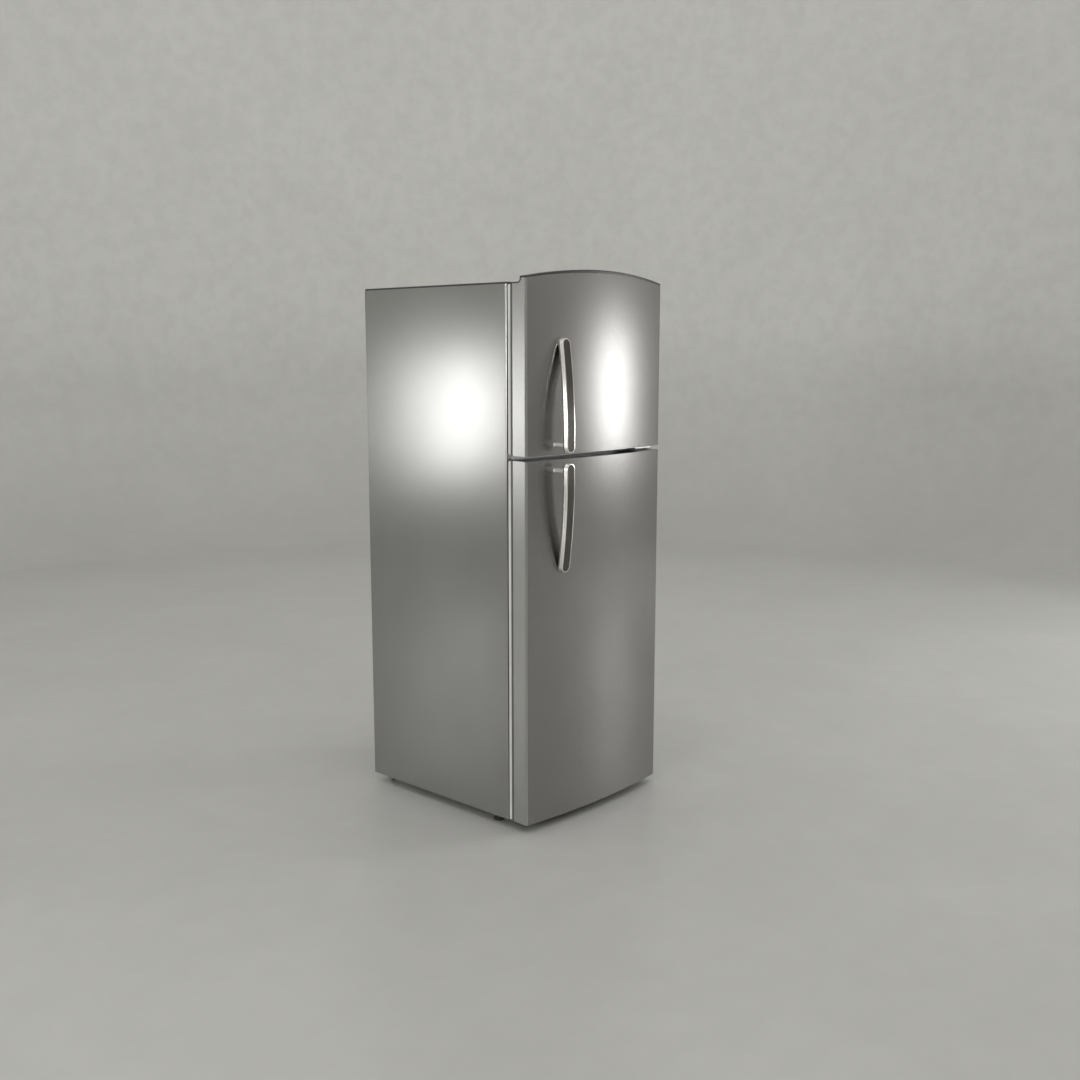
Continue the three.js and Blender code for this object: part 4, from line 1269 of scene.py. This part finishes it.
class FRIDGE_OT_liners(bpy.types.Operator):
    """Builds the two moulded inner walls with their shelf ledges"""

    bl_idname = "fridge.liners"
    bl_label = "Cabinet liners"

    def execute(self, context):
        radius = context.scene.fridge_fittings.liner_radius
        self.liner("freezer_walls", "freezer_liner", FREEZER_SPACE, radius, None,
                   ("freezer_shelf",))
        self.liner("fresh_food_walls", "fresh_food_liner", FRESH_SPACE, radius,
                   (HUMP_FRONT, HUMP_TOP), ("upper_shelf", "lower_shelf", "crisper_cover"))
        return {"FINISHED"}

    def liner(self, name, node_name, space, radius, hump, shelves):
        flange_low, flange_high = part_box(node_name)
        face, back = FACE_Y, FACE_Y + SPACE_DEPTH
        low, high = space

        def mouth(grow, y, corner=radius, foot=low):
            return upright_loop(SPACE_HALF + grow, foot - grow, high + grow, corner, y)

        loops = [rounded_loop((flange_low.x, flange_low.z), (flange_high.x, flange_high.z), 0.0005,
                              facing(face + 0.0012)),
                 rounded_loop((flange_low.x, flange_low.z), (flange_high.x, flange_high.z), 0.0005,
                              facing(face)),
                 mouth(0.0040, face, radius + 0.004), mouth(0.0018, face + 0.0005),
                 mouth(0.0005, face + 0.0018), mouth(0.0, face + 0.0040)]
        foot = low
        if hump:
            front, top = hump
            soft = 0.010
            loops += [mouth(0.0, front - soft),
                      mouth(0.0, front - soft * 0.4, foot=low + soft * 0.3),
                      mouth(0.0, front, foot=low + soft), mouth(0.0, front, foot=top - soft),
                      mouth(0.0, front + soft * 0.4, foot=top - soft * 0.3),
                      mouth(0.0, front + soft, foot=top)]
            foot = top
        for turn in quarter_turn(5):
            loops.append(mouth(-radius * (1 - math.cos(turn)), back - radius * (1 - math.sin(turn)),
                               foot=foot))
        bm = bmesh.new()
        loft(bm, loops, ends=False)
        bm.faces.new([bm.verts[i] for i in last_ring(bm, len(loops[-1]))])
        made = piece(name, bm, finishes["liner plastic"], "cabinet",
                     [node_name], 50)
        if sum(face.normal.y * face.area for face in made.data.polygons) > 0:
            made.data.flip_normals()
        thicken(made, 0.0018)
        self.ledges(name, shelves)

    def ledges(self, name, shelves):
        """Moulded ledges that carry the shelves, and stops behind them."""
        bm = bmesh.new()
        for shelf in shelves:
            low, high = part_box(shelf)
            for side in (-1, 1):
                xs = sorted((side * (SPACE_HALF - 0.0115), side * (SPACE_HALF - 0.0002)))
                block(bm, (xs[0], low.y + 0.012, low.z - 0.0125), (xs[1], high.y, low.z - 0.0008),
                      0.003, 3)
                slim = sorted((side * (SPACE_HALF - 0.0028), side * (SPACE_HALF - 0.0002)))
                block(bm, (slim[0], low.y + 0.050, high.z + 0.0012),
                      (slim[1], high.y, high.z + 0.0075), 0.0012, 3)
        piece(name.replace("walls", "ledges"), bm, finishes["liner plastic"], "cabinet")


class FRIDGE_OT_shelves(bpy.types.Operator):
    """Builds the glass shelves with their front and rear mouldings"""

    bl_idname = "fridge.shelves"
    bl_label = "Shelves"

    def execute(self, context):
        for name in ("upper_shelf", "lower_shelf", "crisper_cover", "freezer_shelf"):
            low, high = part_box(name)
            bm = bmesh.new()
            block(bm, (low.x, low.y + 0.002, low.z + 0.0004), (high.x, high.y, high.z - 0.0004),
                  0.0012, 2)
            piece(f"{name}_pane", bm, finishes["shelf glass"], "cabinet", [name])
            bm = bmesh.new()
            self.moulding(bm, low, high, low.y - 0.0035, low.y + 0.013, 1)
            self.moulding(bm, low, high, high.y - 0.012, high.y, -1)
            piece(f"{name}_mouldings", bm, finishes["white moulding"], "cabinet")
        return {"FINISHED"}

    def moulding(self, bm, low, high, y0, y1, lip):
        """A strip that grips one edge of the glass; lip is +1 where it has a raised nose."""
        z0, z1 = low.z - 0.0045, high.z + 0.0022
        nose = z1 + (0.0028 if lip > 0 else 0.0)
        section = [(y0 + 0.0016, z0), (y0, z0 + 0.0018), (y0, nose - 0.002), (y0 + 0.0009, nose),
                   (y0 + 0.0030, nose), (y0 + 0.0045, z1), (y1 - 0.0010, z1), (y1, z1 - 0.0010),
                   (y1, high.z + 0.0002), (y0 + 0.005, high.z + 0.0002),
                   (y0 + 0.005, low.z - 0.0002), (y1, low.z - 0.0002), (y1, z0 + 0.0010),
                   (y1 - 0.0010, z0)]
        rings = [[(x, y, z) for y, z in section]
                 for x in (low.x + 0.0004, low.x + 0.0014, high.x - 0.0014, high.x - 0.0004)]
        loft(bm, rings)


class FRIDGE_OT_drawers(bpy.types.Operator):
    """Builds the two crisper drawers and the ice bin"""

    bl_idname = "fridge.drawers"
    bl_label = "Drawers"

    def execute(self, context):
        sizes = context.scene.fridge_fittings
        for name in ("crisper_left", "crisper_right"):
            low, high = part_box(name)
            bm = bmesh.new()
            container(bm, low + Vector((0.006, 0.0075, 0.0005)), high - Vector((0.006, 0.004, 0)),
                      sizes.bin_wall, sizes.bin_radius, 0.010, flare=0.004)
            self.front(bm, low, high)
            self.runners(bm, low, high)
            piece(f"{name}_tray", bm, [finishes["clear plastic"], finishes["white moulding"]],
                  name, [name], 40)
        low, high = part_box("ice_bin")
        bm = bmesh.new()
        container(bm, low, high, 0.0025, 0.014, 0.007, flare=0.006, lip=0.003)
        ribs(bm, span(low.x + 0.045, high.x - 0.045, 5), (low.y + 0.0052, low.y + 0.0075),
             (low.z + 0.03, high.z - 0.02), 0.0016)
        piece("ice_bin_tray", bm, finishes["clear plastic"], "cabinet",
              ["ice_bin"], 40)
        return {"FINISHED"}

    def front(self, bm, low, high):
        """A white pull along the top of the drawer's front, hollow behind."""
        z0, z1 = high.z - 0.046, high.z - 0.0004
        y0 = low.y
        section = [(y0 + 0.0070, z0 + 0.002), (y0 + 0.0020, z0), (y0, z0 + 0.002),
                   (y0, z1 - 0.004), (y0 + 0.0012, z1 - 0.0008), (y0 + 0.004, z1),
                   (y0 + 0.019, z1), (y0 + 0.020, z1 - 0.0012), (y0 + 0.019, z1 - 0.0026),
                   (y0 + 0.0080, z1 - 0.0030), (y0 + 0.0064, z1 - 0.006),
                   (y0 + 0.0064, z0 + 0.012)]
        rings = []
        for x, pinch in ((low.x + 0.0005, 0.0012), (low.x + 0.0025, 0.0), (high.x - 0.0025, 0.0),
                         (high.x - 0.0005, 0.0012)):
            rings.append([(x, y + pinch * 0.5, lerp(z, (z0 + z1) / 2, pinch * 18))
                          for y, z in section])
        loft(bm, rings, material=1)

    def runners(self, bm, low, high):
        """The flange along each side that the drawer slides on."""
        for x0, x1 in ((low.x + 0.0004, low.x + 0.0085), (high.x - 0.0085, high.x - 0.0004)):
            block(bm, (x0, low.y + 0.018, high.z - 0.0040), (x1, high.y - 0.003, high.z - 0.0010),
                  0.001, 2)


class FRIDGE_OT_door_bins(bpy.types.Operator):
    """Builds the bins on the doors, the dairy box and its lid"""

    bl_idname = "fridge.door_bins"
    bl_label = "Door bins"

    def execute(self, context):
        sizes = context.scene.fridge_fittings
        for name, body in (("freezer_door_bin", "freezer_door"), ("door_bin_upper", "fridge_door"),
                           ("door_bin_lower", "fridge_door")):
            low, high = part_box(name)
            bm = bmesh.new()
            container(bm, low, high, sizes.bin_wall, sizes.bin_radius, 0.009, flare=0.003,
                      lip=0.0012)
            ribs(bm, span(low.x + 0.06, high.x - 0.06, 9), (high.y - 0.0046, high.y - 0.0016),
                 (low.z + 0.014, high.z - 0.018), 0.0014)
            self.band(bm, low, high)
            piece(f"{name}_tray", bm, [finishes["clear plastic"], finishes["white moulding"]],
                  body, [name], 40)
        self.dairy()
        return {"FINISHED"}

    def band(self, bm, low, high):
        """A white retaining band round the front of a bin, under its lip."""
        rings = []
        for inset, z in ((-0.0002, -0.0215), (-0.0010, -0.0200), (-0.0010, -0.0130),
                         (-0.0002, -0.0115), (0.0010, -0.0118), (0.0010, -0.0212)):
            rings.append(flat_loop(low, high, inset, 0.016, high.z + z))
        loft(bm, rings, ends=False, around=True, material=1)

    def dairy(self):
        low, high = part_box("dairy_box")
        wall = 0.0024
        bm = bmesh.new()
        shape = [(0.006, low.y), (0.0018, low.y + 0.0018), (0.0, low.y + 0.006),
                 (0.0, high.y - 0.001), (0.0008, high.y), (wall, high.y),
                 (wall + 0.0008, high.y - 0.001), (wall + 0.0008, low.y + 0.008),
                 (wall + 0.006, low.y + wall)]
        rings = [rounded_loop((low.x + inset, low.z + inset), (high.x - inset, high.z - inset),
                              max(0.002, 0.009 - inset), facing(y)) for inset, y in shape]
        loft(bm, rings)
        piece("dairy_shell", bm, finishes["clear plastic"], "fridge_door",
              ["dairy_box"], 40)
        low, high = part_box("dairy_lid")
        bm = bmesh.new()
        middle = (low.x + high.x) / 2
        block(bm, low, (high.x, high.y, high.z), 0.0012, 2)
        turned(bm, (low.x + 0.002, high.y - 0.0015, high.z - 0.0020), (1, 0, 0),
               [(0.0014, 0.0), (0.0018, 0.0005), (0.0018, high.x - low.x - 0.0045),
                (0.0014, high.x - low.x - 0.004)], 16)
        tab = [(low.y + 0.0004, low.z + 0.004), (low.y + 0.0004, low.z + 0.012),
               (high.y, low.z + 0.012), (high.y + 0.003, low.z + 0.009),
               (high.y + 0.0045, low.z + 0.004), (high.y + 0.003, low.z + 0.003)]
        loft(bm, [[(x, y, z) for y, z in tab] for x in (middle - 0.035, middle + 0.035)],
             material=1)
        piece("dairy_flap", bm, [finishes["clear plastic"], finishes["white moulding"]],
              "dairy_lid", ["dairy_lid"], 40)


class FRIDGE_OT_controls(bpy.types.Operator):
    """Builds the control housing, its dial and slider, the lamp cover and the door switch"""

    bl_idname = "fridge.controls"
    bl_label = "Controls"

    def execute(self, context):
        self.housing()
        self.dial()
        self.slider()
        self.lamp()
        self.switch()
        return {"FINISHED"}

    def housing(self):
        low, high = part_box("control_housing")
        bm = bmesh.new()
        rings = [flat_loop((low.x, low.y), (high.x, high.y), inset, 0.012, z)
                 for inset, z in ((0.007, low.z), (0.0022, low.z + 0.0018), (0.0, low.z + 0.007),
                                  (0.0, high.z - 0.001), (0.0008, high.z))]
        loft(bm, rings)
        face = low.y
        dial_low, dial_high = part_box("thermostat_dial")
        dial_x, dial_z = (dial_low.x + dial_high.x) / 2, (dial_low.z + dial_high.z) / 2
        for i in range(11):
            turn = math.radians(lerp(-135, 135, i / 10))
            reach = 0.0235
            mark = Vector((dial_x + reach * math.sin(turn), face + 0.0004,
                           dial_z + reach * math.cos(turn)))
            turned(bm, mark, (0, -1, 0),
                   [(0.0009 + 0.00004 * i, 0.0), (0.0009 + 0.00004 * i, 0.0006), (0.0, 0.0006)], 10,
                   material=1)
        slot_low, slot_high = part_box("air_slider")
        slot_x, slot_z = (slot_low.x + slot_high.x) / 2, (slot_low.z + slot_high.z) / 2
        block(bm, (slot_x - 0.031, face - 0.0002, slot_z - 0.0017),
              (slot_x + 0.031, face + 0.0010, slot_z + 0.0017), 0.0004, 2, 1)
        for i, x in enumerate(span(slot_x - 0.020, slot_x + 0.020, 5)):
            block(bm, (x - 0.0006, face - 0.0003, slot_z - 0.0125),
                  (x + 0.0006, face + 0.0006, slot_z - 0.0125 + 0.0024 + 0.0005 * i), 0.0002, 2, 1)
        for x in span(low.x + 0.022, high.x - 0.022, 9):
            block(bm, (x - 0.0065, low.y + 0.026, low.z - 0.0003),
                  (x + 0.0065, low.y + 0.030, low.z + 0.0010), 0.0003, 2, 1)
        piece("control_box", bm, [finishes["white moulding"], finishes["mark ink"]], "cabinet",
              ["control_housing"], 40)

    def dial(self):
        low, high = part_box("thermostat_dial")
        centre = (low + high) / 2
        bm = bmesh.new()
        sides = 96
        rings = []
        for radius, along in ((0.0185, 0.0), (0.0198, 0.0006), (0.0198, 0.0056), (0.0190, 0.0074),
                              (0.0172, 0.0082), (0.0, 0.0084)):
            base = Vector((centre.x, high.y - along, centre.z))
            ring = []
            for i in range(sides):
                turn = 2 * math.pi * i / sides
                bite = 0.0004 * (i % 4 in (0, 1)) if 0.0004 < along < 0.007 else 0.0
                reach = max(radius - bite, 1e-5)
                ring.append(base + Vector((reach * math.cos(turn), 0, reach * math.sin(turn))))
            rings.append(ring)
        loft(bm, rings)
        grip = []
        for t, half in ((0.0, 0.0030), (0.35, 0.0029), (0.8, 0.0024), (1.0, 0.0014)):
            y = lerp(high.y - 0.0080, low.y, t)
            grip.append(rounded_loop((centre.x - half, low.z + 0.0022 + t * 0.002),
                                     (centre.x + half, high.z - 0.0022 - t * 0.002), 0.0028,
                                     facing(y)))
        loft(bm, grip)
        block(bm, (centre.x - 0.0007, low.y - 0.0001, centre.z + 0.004),
              (centre.x + 0.0007, low.y + 0.0006, high.z - 0.0055), 0.0002, 2, 1)
        piece("temperature_knob", bm, [finishes["dark plastic"], finishes["white moulding"]],
              "thermostat_dial", ["thermostat_dial"], 35)

    def slider(self):
        low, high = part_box("air_slider")
        bm = bmesh.new()
        block(bm, (low.x, low.y + 0.0028, low.z), high, 0.0012)
        for x in span(low.x + 0.003, high.x - 0.003, 4):
            block(bm, (x - 0.0009, low.y, low.z + 0.0006),
                  (x + 0.0009, low.y + 0.004, high.z - 0.0006), 0.0006, 2)
        piece("air_slide_knob", bm, finishes["dark plastic"], "air_slider",
              ["air_slider"])

    def lamp(self):
        low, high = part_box("lamp_cover")
        bm = bmesh.new()
        rings = [flat_loop((low.x, low.y), (high.x, high.y), inset, 0.010, z)
                 for inset, z in ((0.010, low.z), (0.004, low.z + 0.0018), (0.001, low.z + 0.006),
                                  (0.0, low.z + 0.011), (0.0, high.z))]
        loft(bm, rings)
        for x in span(low.x + 0.014, high.x - 0.014, 13):
            block(bm, (x - 0.0012, low.y + 0.008, low.z - 0.0010),
                  (x + 0.0012, high.y - 0.008, low.z + 0.002), 0.0009, 2)
        piece("lamp_lens", bm, finishes["frosted plastic"], "cabinet",
              ["lamp_cover"])

    def switch(self):
        low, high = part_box("light_switch")
        centre = (low + high) / 2
        bm = bmesh.new()
        turned(bm, (centre.x, high.y, centre.z), (0, -1, 0),
               [(0.0038, 0.0), (0.0040, 0.0006), (0.0040, high.y - low.y - 0.0030),
                (0.0033, high.y - low.y - 0.0010), (0.0018, high.y - low.y - 0.0002),
                (0.0, high.y - low.y)], 28)
        piece("door_switch_plunger", bm, finishes["white moulding"], "light_switch",
              ["light_switch"])
        bm = bmesh.new()
        turned(bm, (centre.x, FACE_Y + 0.052, centre.z), (0, -1, 0),
               [(0.0046, 0.0), (0.0086, 0.0), (0.0088, 0.0010), (0.0088, 0.0240),
                (0.0080, 0.0262), (0.0056, 0.0270), (0.0046, 0.0262)], 36, around=True)
        piece("door_switch_boss", bm, finishes["white moulding"], "cabinet")


class FRIDGE_OT_cooling(bpy.types.Operator):
    """Builds the condenser, compressor, pipes, drain pan, evaporator parts and the fan"""

    bl_idname = "fridge.cooling"
    bl_label = "Cooling circuit"

    def execute(self, context):
        self.condenser(context.scene.fridge_fittings.wires)
        self.compressor()
        self.drain_pan()
        self.evaporator()
        self.fan(context.scene.fridge_fittings.blades)
        return {"FINISHED"}

    def condenser(self, wires):
        radius = 0.0025
        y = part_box("condenser")[1].y - radius
        half, pitch, rows, lowest = 0.230, 0.060, 18, 0.420
        bm = bmesh.new()
        path = []
        for row in range(rows):
            side = -1 if row % 2 else 1
            z = lowest + row * pitch
            path.append((-side * half, y, z))
            path.append((side * half, y, z))
            if row < rows - 1:
                for i in range(1, 10):
                    turn = math.pi * i / 10
                    path.append((side * (half + pitch / 2 * math.sin(turn)), y,
                                 z + pitch / 2 * (1 - math.cos(turn))))
        tube(bm, path, radius, 12)
        wire = 0.0007
        top = lowest + (rows - 1) * pitch
        for i, x in enumerate(span(-half + 0.012, half - 0.012, wires)):
            for depth in (-1, 1):
                wire_y = y + depth * (radius - wire * 0.6) - (wire if depth > 0 else 0)
                tube(bm, [(x + 0.002 * depth, wire_y, lowest - 0.012),
                          (x + 0.002 * depth, wire_y, top + 0.012)], wire, 6)
        for x in (-0.2, 0.2):
            block(bm, (x - 0.008, y - radius - 0.0016, lowest - 0.020),
                  (x + 0.008, y - radius - 0.0002, top + 0.020), 0.0005, 2)
            for z in (lowest, top - 0.020):
                block(bm, (x - 0.008, BACK_Y + 0.0003, z),
                      (x + 0.008, y - radius, z + 0.020), 0.001)
        piece("condenser_grille", bm, finishes["black enamel"], "cabinet",
              ["condenser"], 40)

    def compressor(self):
        low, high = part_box("compressor")
        foot_top = low.z + 0.0165
        centre = Vector(((low.x + high.x) / 2, (low.y + high.y) / 2, low.z + 0.012))
        centre.x, centre.y = -0.150, FACE_Y + 0.545
        bm = bmesh.new()
        turned(bm, centre, (0, 0, 1),
               [(0.0, 0.0), (0.058, 0.0), (0.068, 0.004), (0.076, 0.012), (0.079, 0.022),
                (0.0795, 0.062), (0.0795, 0.068), (0.0825, 0.069), (0.0825, 0.073),
                (0.0795, 0.074), (0.0790, 0.098), (0.075, 0.116), (0.066, 0.132), (0.052, 0.144),
                (0.034, 0.150), (0.0, 0.152)], 56)
        for dx, dy in ((-0.083, -0.053), (0.083, -0.053), (-0.083, 0.053), (0.083, 0.053)):
            spot = centre + Vector((dx, dy, 0))
            turned(bm, (spot.x, spot.y, low.z), (0, 0, 1),
                   [(0.012, 0.0), (0.013, 0.003), (0.010, 0.008), (0.013, 0.013), (0.012, 0.0165),
                    (0.004, 0.0165), (0.004, 0.021), (0.0, 0.021)], 24, material=1)
        block(bm, (centre.x - 0.095, centre.y - 0.063, foot_top - 0.008),
              (centre.x + 0.095, centre.y + 0.063, foot_top - 0.005), 0.0012)
        block(bm, (centre.x + 0.070, centre.y - 0.030, centre.z + 0.040),
              (centre.x + 0.098, centre.y + 0.030, centre.z + 0.105), 0.004, 3, 1)
        piece("compressor_pot", bm, [finishes["black enamel"], finishes["rubber"]], "cabinet",
              ["compressor"])
        bm = bmesh.new()
        bend = 0.018
        tube(bm, bent([(centre.x - 0.060, centre.y + 0.030, centre.z + 0.100),
                       (centre.x - 0.100, centre.y + 0.040, centre.z + 0.100),
                       (centre.x - 0.100, BACK_Y + 0.0285, centre.z + 0.150),
                       (-0.245, BACK_Y + 0.0285, 0.330), (-0.232, BACK_Y + 0.0290, 0.420)],
                      bend), 0.003, 10)
        tube(bm, bent([(centre.x + 0.040, centre.y + 0.052, centre.z + 0.104),
                       (centre.x + 0.050, centre.y + 0.076, centre.z + 0.112),
                       (centre.x + 0.110, centre.y + 0.072, centre.z + 0.160),
                       (0.020, centre.y + 0.040, 0.236)], bend), 0.0036, 10)
        tube(bm, bent([(0.130, BACK_Y - 0.040, 0.200), (0.130, BACK_Y - 0.030, 0.120),
                       (0.040, BACK_Y - 0.030, 0.120), (-0.010, BACK_Y - 0.050, 0.190)], bend),
             0.0022, 10)
        turned(bm, (0.130, BACK_Y - 0.040, 0.110), (0, 0, 1),
               [(0.003, 0.0), (0.009, 0.012), (0.010, 0.020), (0.010, 0.085), (0.008, 0.098),
                (0.003, 0.108)], 24)
        piece("copper_pipes", bm, finishes["copper"], "cabinet")

    def drain_pan(self):
        low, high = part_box("drain_pan")
        bm = bmesh.new()
        container(bm, low, high, 0.002, 0.014, 0.006, flare=0.005, lip=0.002)
        piece("drip_tray", bm, finishes["dark plastic"], "cabinet",
              ["drain_pan"], 40)

    def evaporator(self):
        dress("evaporator_cover", finishes["white moulding"], 0.0006)
        low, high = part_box("evaporator_cover")
        fan = (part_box("evaporator_fan")[0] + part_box("evaporator_fan")[1]) / 2
        bm = bmesh.new()
        turned(bm, (fan.x, low.y + 0.0005, fan.z), (0, -1, 0),
               [(0.0525, 0.0), (0.060, 0.0), (0.060, 0.0030), (0.0585, 0.0042), (0.0545, 0.0042),
                (0.0525, 0.0030)], 72, around=True)
        for row in span(low.z + 0.085, fan.z - 0.095, 5):
            block(bm, (-0.205, low.y - 0.0022, row - 0.003), (0.205, low.y + 0.0006, row + 0.003),
                  0.0018)
        piece("evaporator_grille_ring", bm, finishes["white moulding"], "cabinet")
        low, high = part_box("evaporator")
        bm = bmesh.new()
        for x in span(low.x + 0.001, high.x - 0.001, 45):
            block(bm, (x - 0.0004, low.y, low.z), (x + 0.0004, high.y, high.z))
        path = []
        for row, z in enumerate(span(low.z + 0.020, high.z - 0.020, 5)):
            side = -1 if row % 2 else 1
            path += [(-side * (high.x - 0.002), (low.y + high.y) / 2, z),
                     (side * (high.x - 0.002), (low.y + high.y) / 2, z)]
        tube(bm, bent(path, 0.012), 0.004, 12)
        piece("evaporator_coil", bm, finishes["fins"], "cabinet", ["evaporator"])

    def fan(self, blades):
        low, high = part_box("evaporator_fan")
        centre = (low + high) / 2
        reach = (high.z - low.z) / 2
        bm = bmesh.new()
        turned(bm, (centre.x, centre.y + 0.009, centre.z), (0, -1, 0),
               [(0.0, 0.0), (0.016, 0.0), (0.0178, 0.002), (0.0178, 0.012), (0.0150, 0.0165),
                (0.008, 0.0180), (0.0, 0.0182)], 40)
        for i in range(blades):
            self.blade(bm, centre, 2 * math.pi * i / blades, reach * 0.985)
        piece("fan_wheel", bm, finishes["dark plastic"], "evaporator_fan",
              ["evaporator_fan"], 45)

    def blade(self, bm, centre, turn, reach):
        """A twisted blade that widens towards its tip."""
        rings = []
        for t in (0.0, 0.25, 0.5, 0.75, 0.93, 1.0):
            radius = lerp(0.014, reach, t)
            chord = lerp(0.016, 0.024, min(1.0, t * 1.4)) * (0.7 if t == 1.0 else 1.0)
            pitch = lerp(0.95, 0.55, t)
            ring = []
            for u, side in ((-1, 0), (-0.5, 1), (0, 1), (0.5, 1), (1, 0), (0.5, -1), (0, -1),
                            (-0.5, -1)):
                camber = 0.0016 * (1 - u * u) + side * 0.0007
                along, deep = u * chord / 2, camber
                tangent = along * math.cos(pitch) - deep * math.sin(pitch)
                depth = along * math.sin(pitch) + deep * math.cos(pitch)
                ring.append(Vector((radius * math.sin(turn) + tangent * math.cos(turn), depth,
                                    radius * math.cos(turn) - tangent * math.sin(turn))) + centre)
            rings.append(ring)
        loft(bm, rings)


class FRIDGE_OT_feet(bpy.types.Operator):
    """Builds the levelling feet and the rear rollers"""

    bl_idname = "fridge.feet"
    bl_label = "Feet and rollers"

    def execute(self, context):
        for side in ("left", "right"):
            self.foot(f"foot_{side}")
            self.roller(f"roller_{side}")
        return {"FINISHED"}

    def foot(self, name):
        low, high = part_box(name)
        centre = (low + high) / 2
        bm = bmesh.new()
        sides, lobes = 72, 8
        rings = []
        for radius, z in ((0.0150, 0.0), (0.0166, 0.0012), (0.0172, 0.0030), (0.0172, 0.0062),
                          (0.0160, 0.0076), (0.0090, 0.0082)):
            ring = []
            for i in range(sides):
                turn = 2 * math.pi * i / sides
                reach = radius * (1 + (0.028 if z > 0.001 else 0.0) * math.cos(turn * lobes))
                ring.append((centre.x + reach * math.cos(turn), centre.y + reach * math.sin(turn),
                             low.z + z))
            rings.append(ring)
        loft(bm, rings)
        stud = [(0.0046, 0.0078)]
        z = 0.0090
        while z < high.z - low.z - 0.0020:
            stud += [(0.0050, z), (0.0043, z + 0.0006)]
            z += 0.0012
        stud += [(0.0044, high.z - low.z - 0.0010), (0.0036, high.z - low.z)]
        turned(bm, (centre.x, centre.y, low.z), (0, 0, 1), stud, 24, material=1)
        piece(f"levelling_{name}", bm, [finishes["dark plastic"], finishes["plated steel"]], name,
              [name], 50)

    def roller(self, name):
        low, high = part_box(name)
        centre = (low + high) / 2
        radius, half = (high.z - low.z) / 2, (high.x - low.x) / 2
        bore = 0.0044
        bm = bmesh.new()
        turned(bm, centre, (1, 0, 0),
               [(bore, -half), (0.0066, -half), (0.0070, -half + 0.0022), (0.0100, -half + 0.0022),
                (0.0104, -half), (radius - 0.0012, -half), (radius, -half + 0.0014),
                (radius, half - 0.0014), (radius - 0.0012, half), (0.0104, half),
                (0.0100, half - 0.0022), (0.0070, half - 0.0022), (0.0066, half), (bore, half)],
               48, around=True)
        piece(f"{name}_wheel", bm, finishes["dark plastic"], name, [name], 40)


OPERATORS = (FRIDGE_OT_finishes, FRIDGE_OT_stage, FRIDGE_OT_cabinet, FRIDGE_OT_doors,
             FRIDGE_OT_handles, FRIDGE_OT_hinges, FRIDGE_OT_liners, FRIDGE_OT_shelves,
             FRIDGE_OT_drawers, FRIDGE_OT_door_bins, FRIDGE_OT_controls, FRIDGE_OT_cooling,
             FRIDGE_OT_feet)


class FRIDGE_PT_panel(bpy.types.Panel):
    """Lists the sizes, the colours and the building steps"""

    bl_idname = "FRIDGE_PT_panel"
    bl_label = "Top freezer refrigerator"
    bl_space_type = "VIEW_3D"
    bl_region_type = "UI"
    bl_category = "Fridge"

    def draw(self, context):
        for name, group in SETTINGS.items():
            box = self.layout.box()
            box.label(text=group.__doc__)
            settings = getattr(context.scene, name)
            for label in group.__annotations__:
                box.prop(settings, label)
        for operator in OPERATORS:
            self.layout.operator(operator.bl_idname)


def register():
    for group in SETTINGS.values():
        bpy.utils.register_class(group)
    for name, group in SETTINGS.items():
        setattr(bpy.types.Scene, name, PointerProperty(type=group))
    for made in (*OPERATORS, FRIDGE_PT_panel):
        bpy.utils.register_class(made)


def unregister():
    for made in reversed((*OPERATORS, FRIDGE_PT_panel)):
        bpy.utils.unregister_class(made)
    for name, group in SETTINGS.items():
        delattr(bpy.types.Scene, name)
        bpy.utils.unregister_class(group)


def main():
    register()
    for operator in OPERATORS:
        section, name = operator.bl_idname.split(".")
        getattr(getattr(bpy.ops, section), name)()


if __name__ == "__main__":
    main()
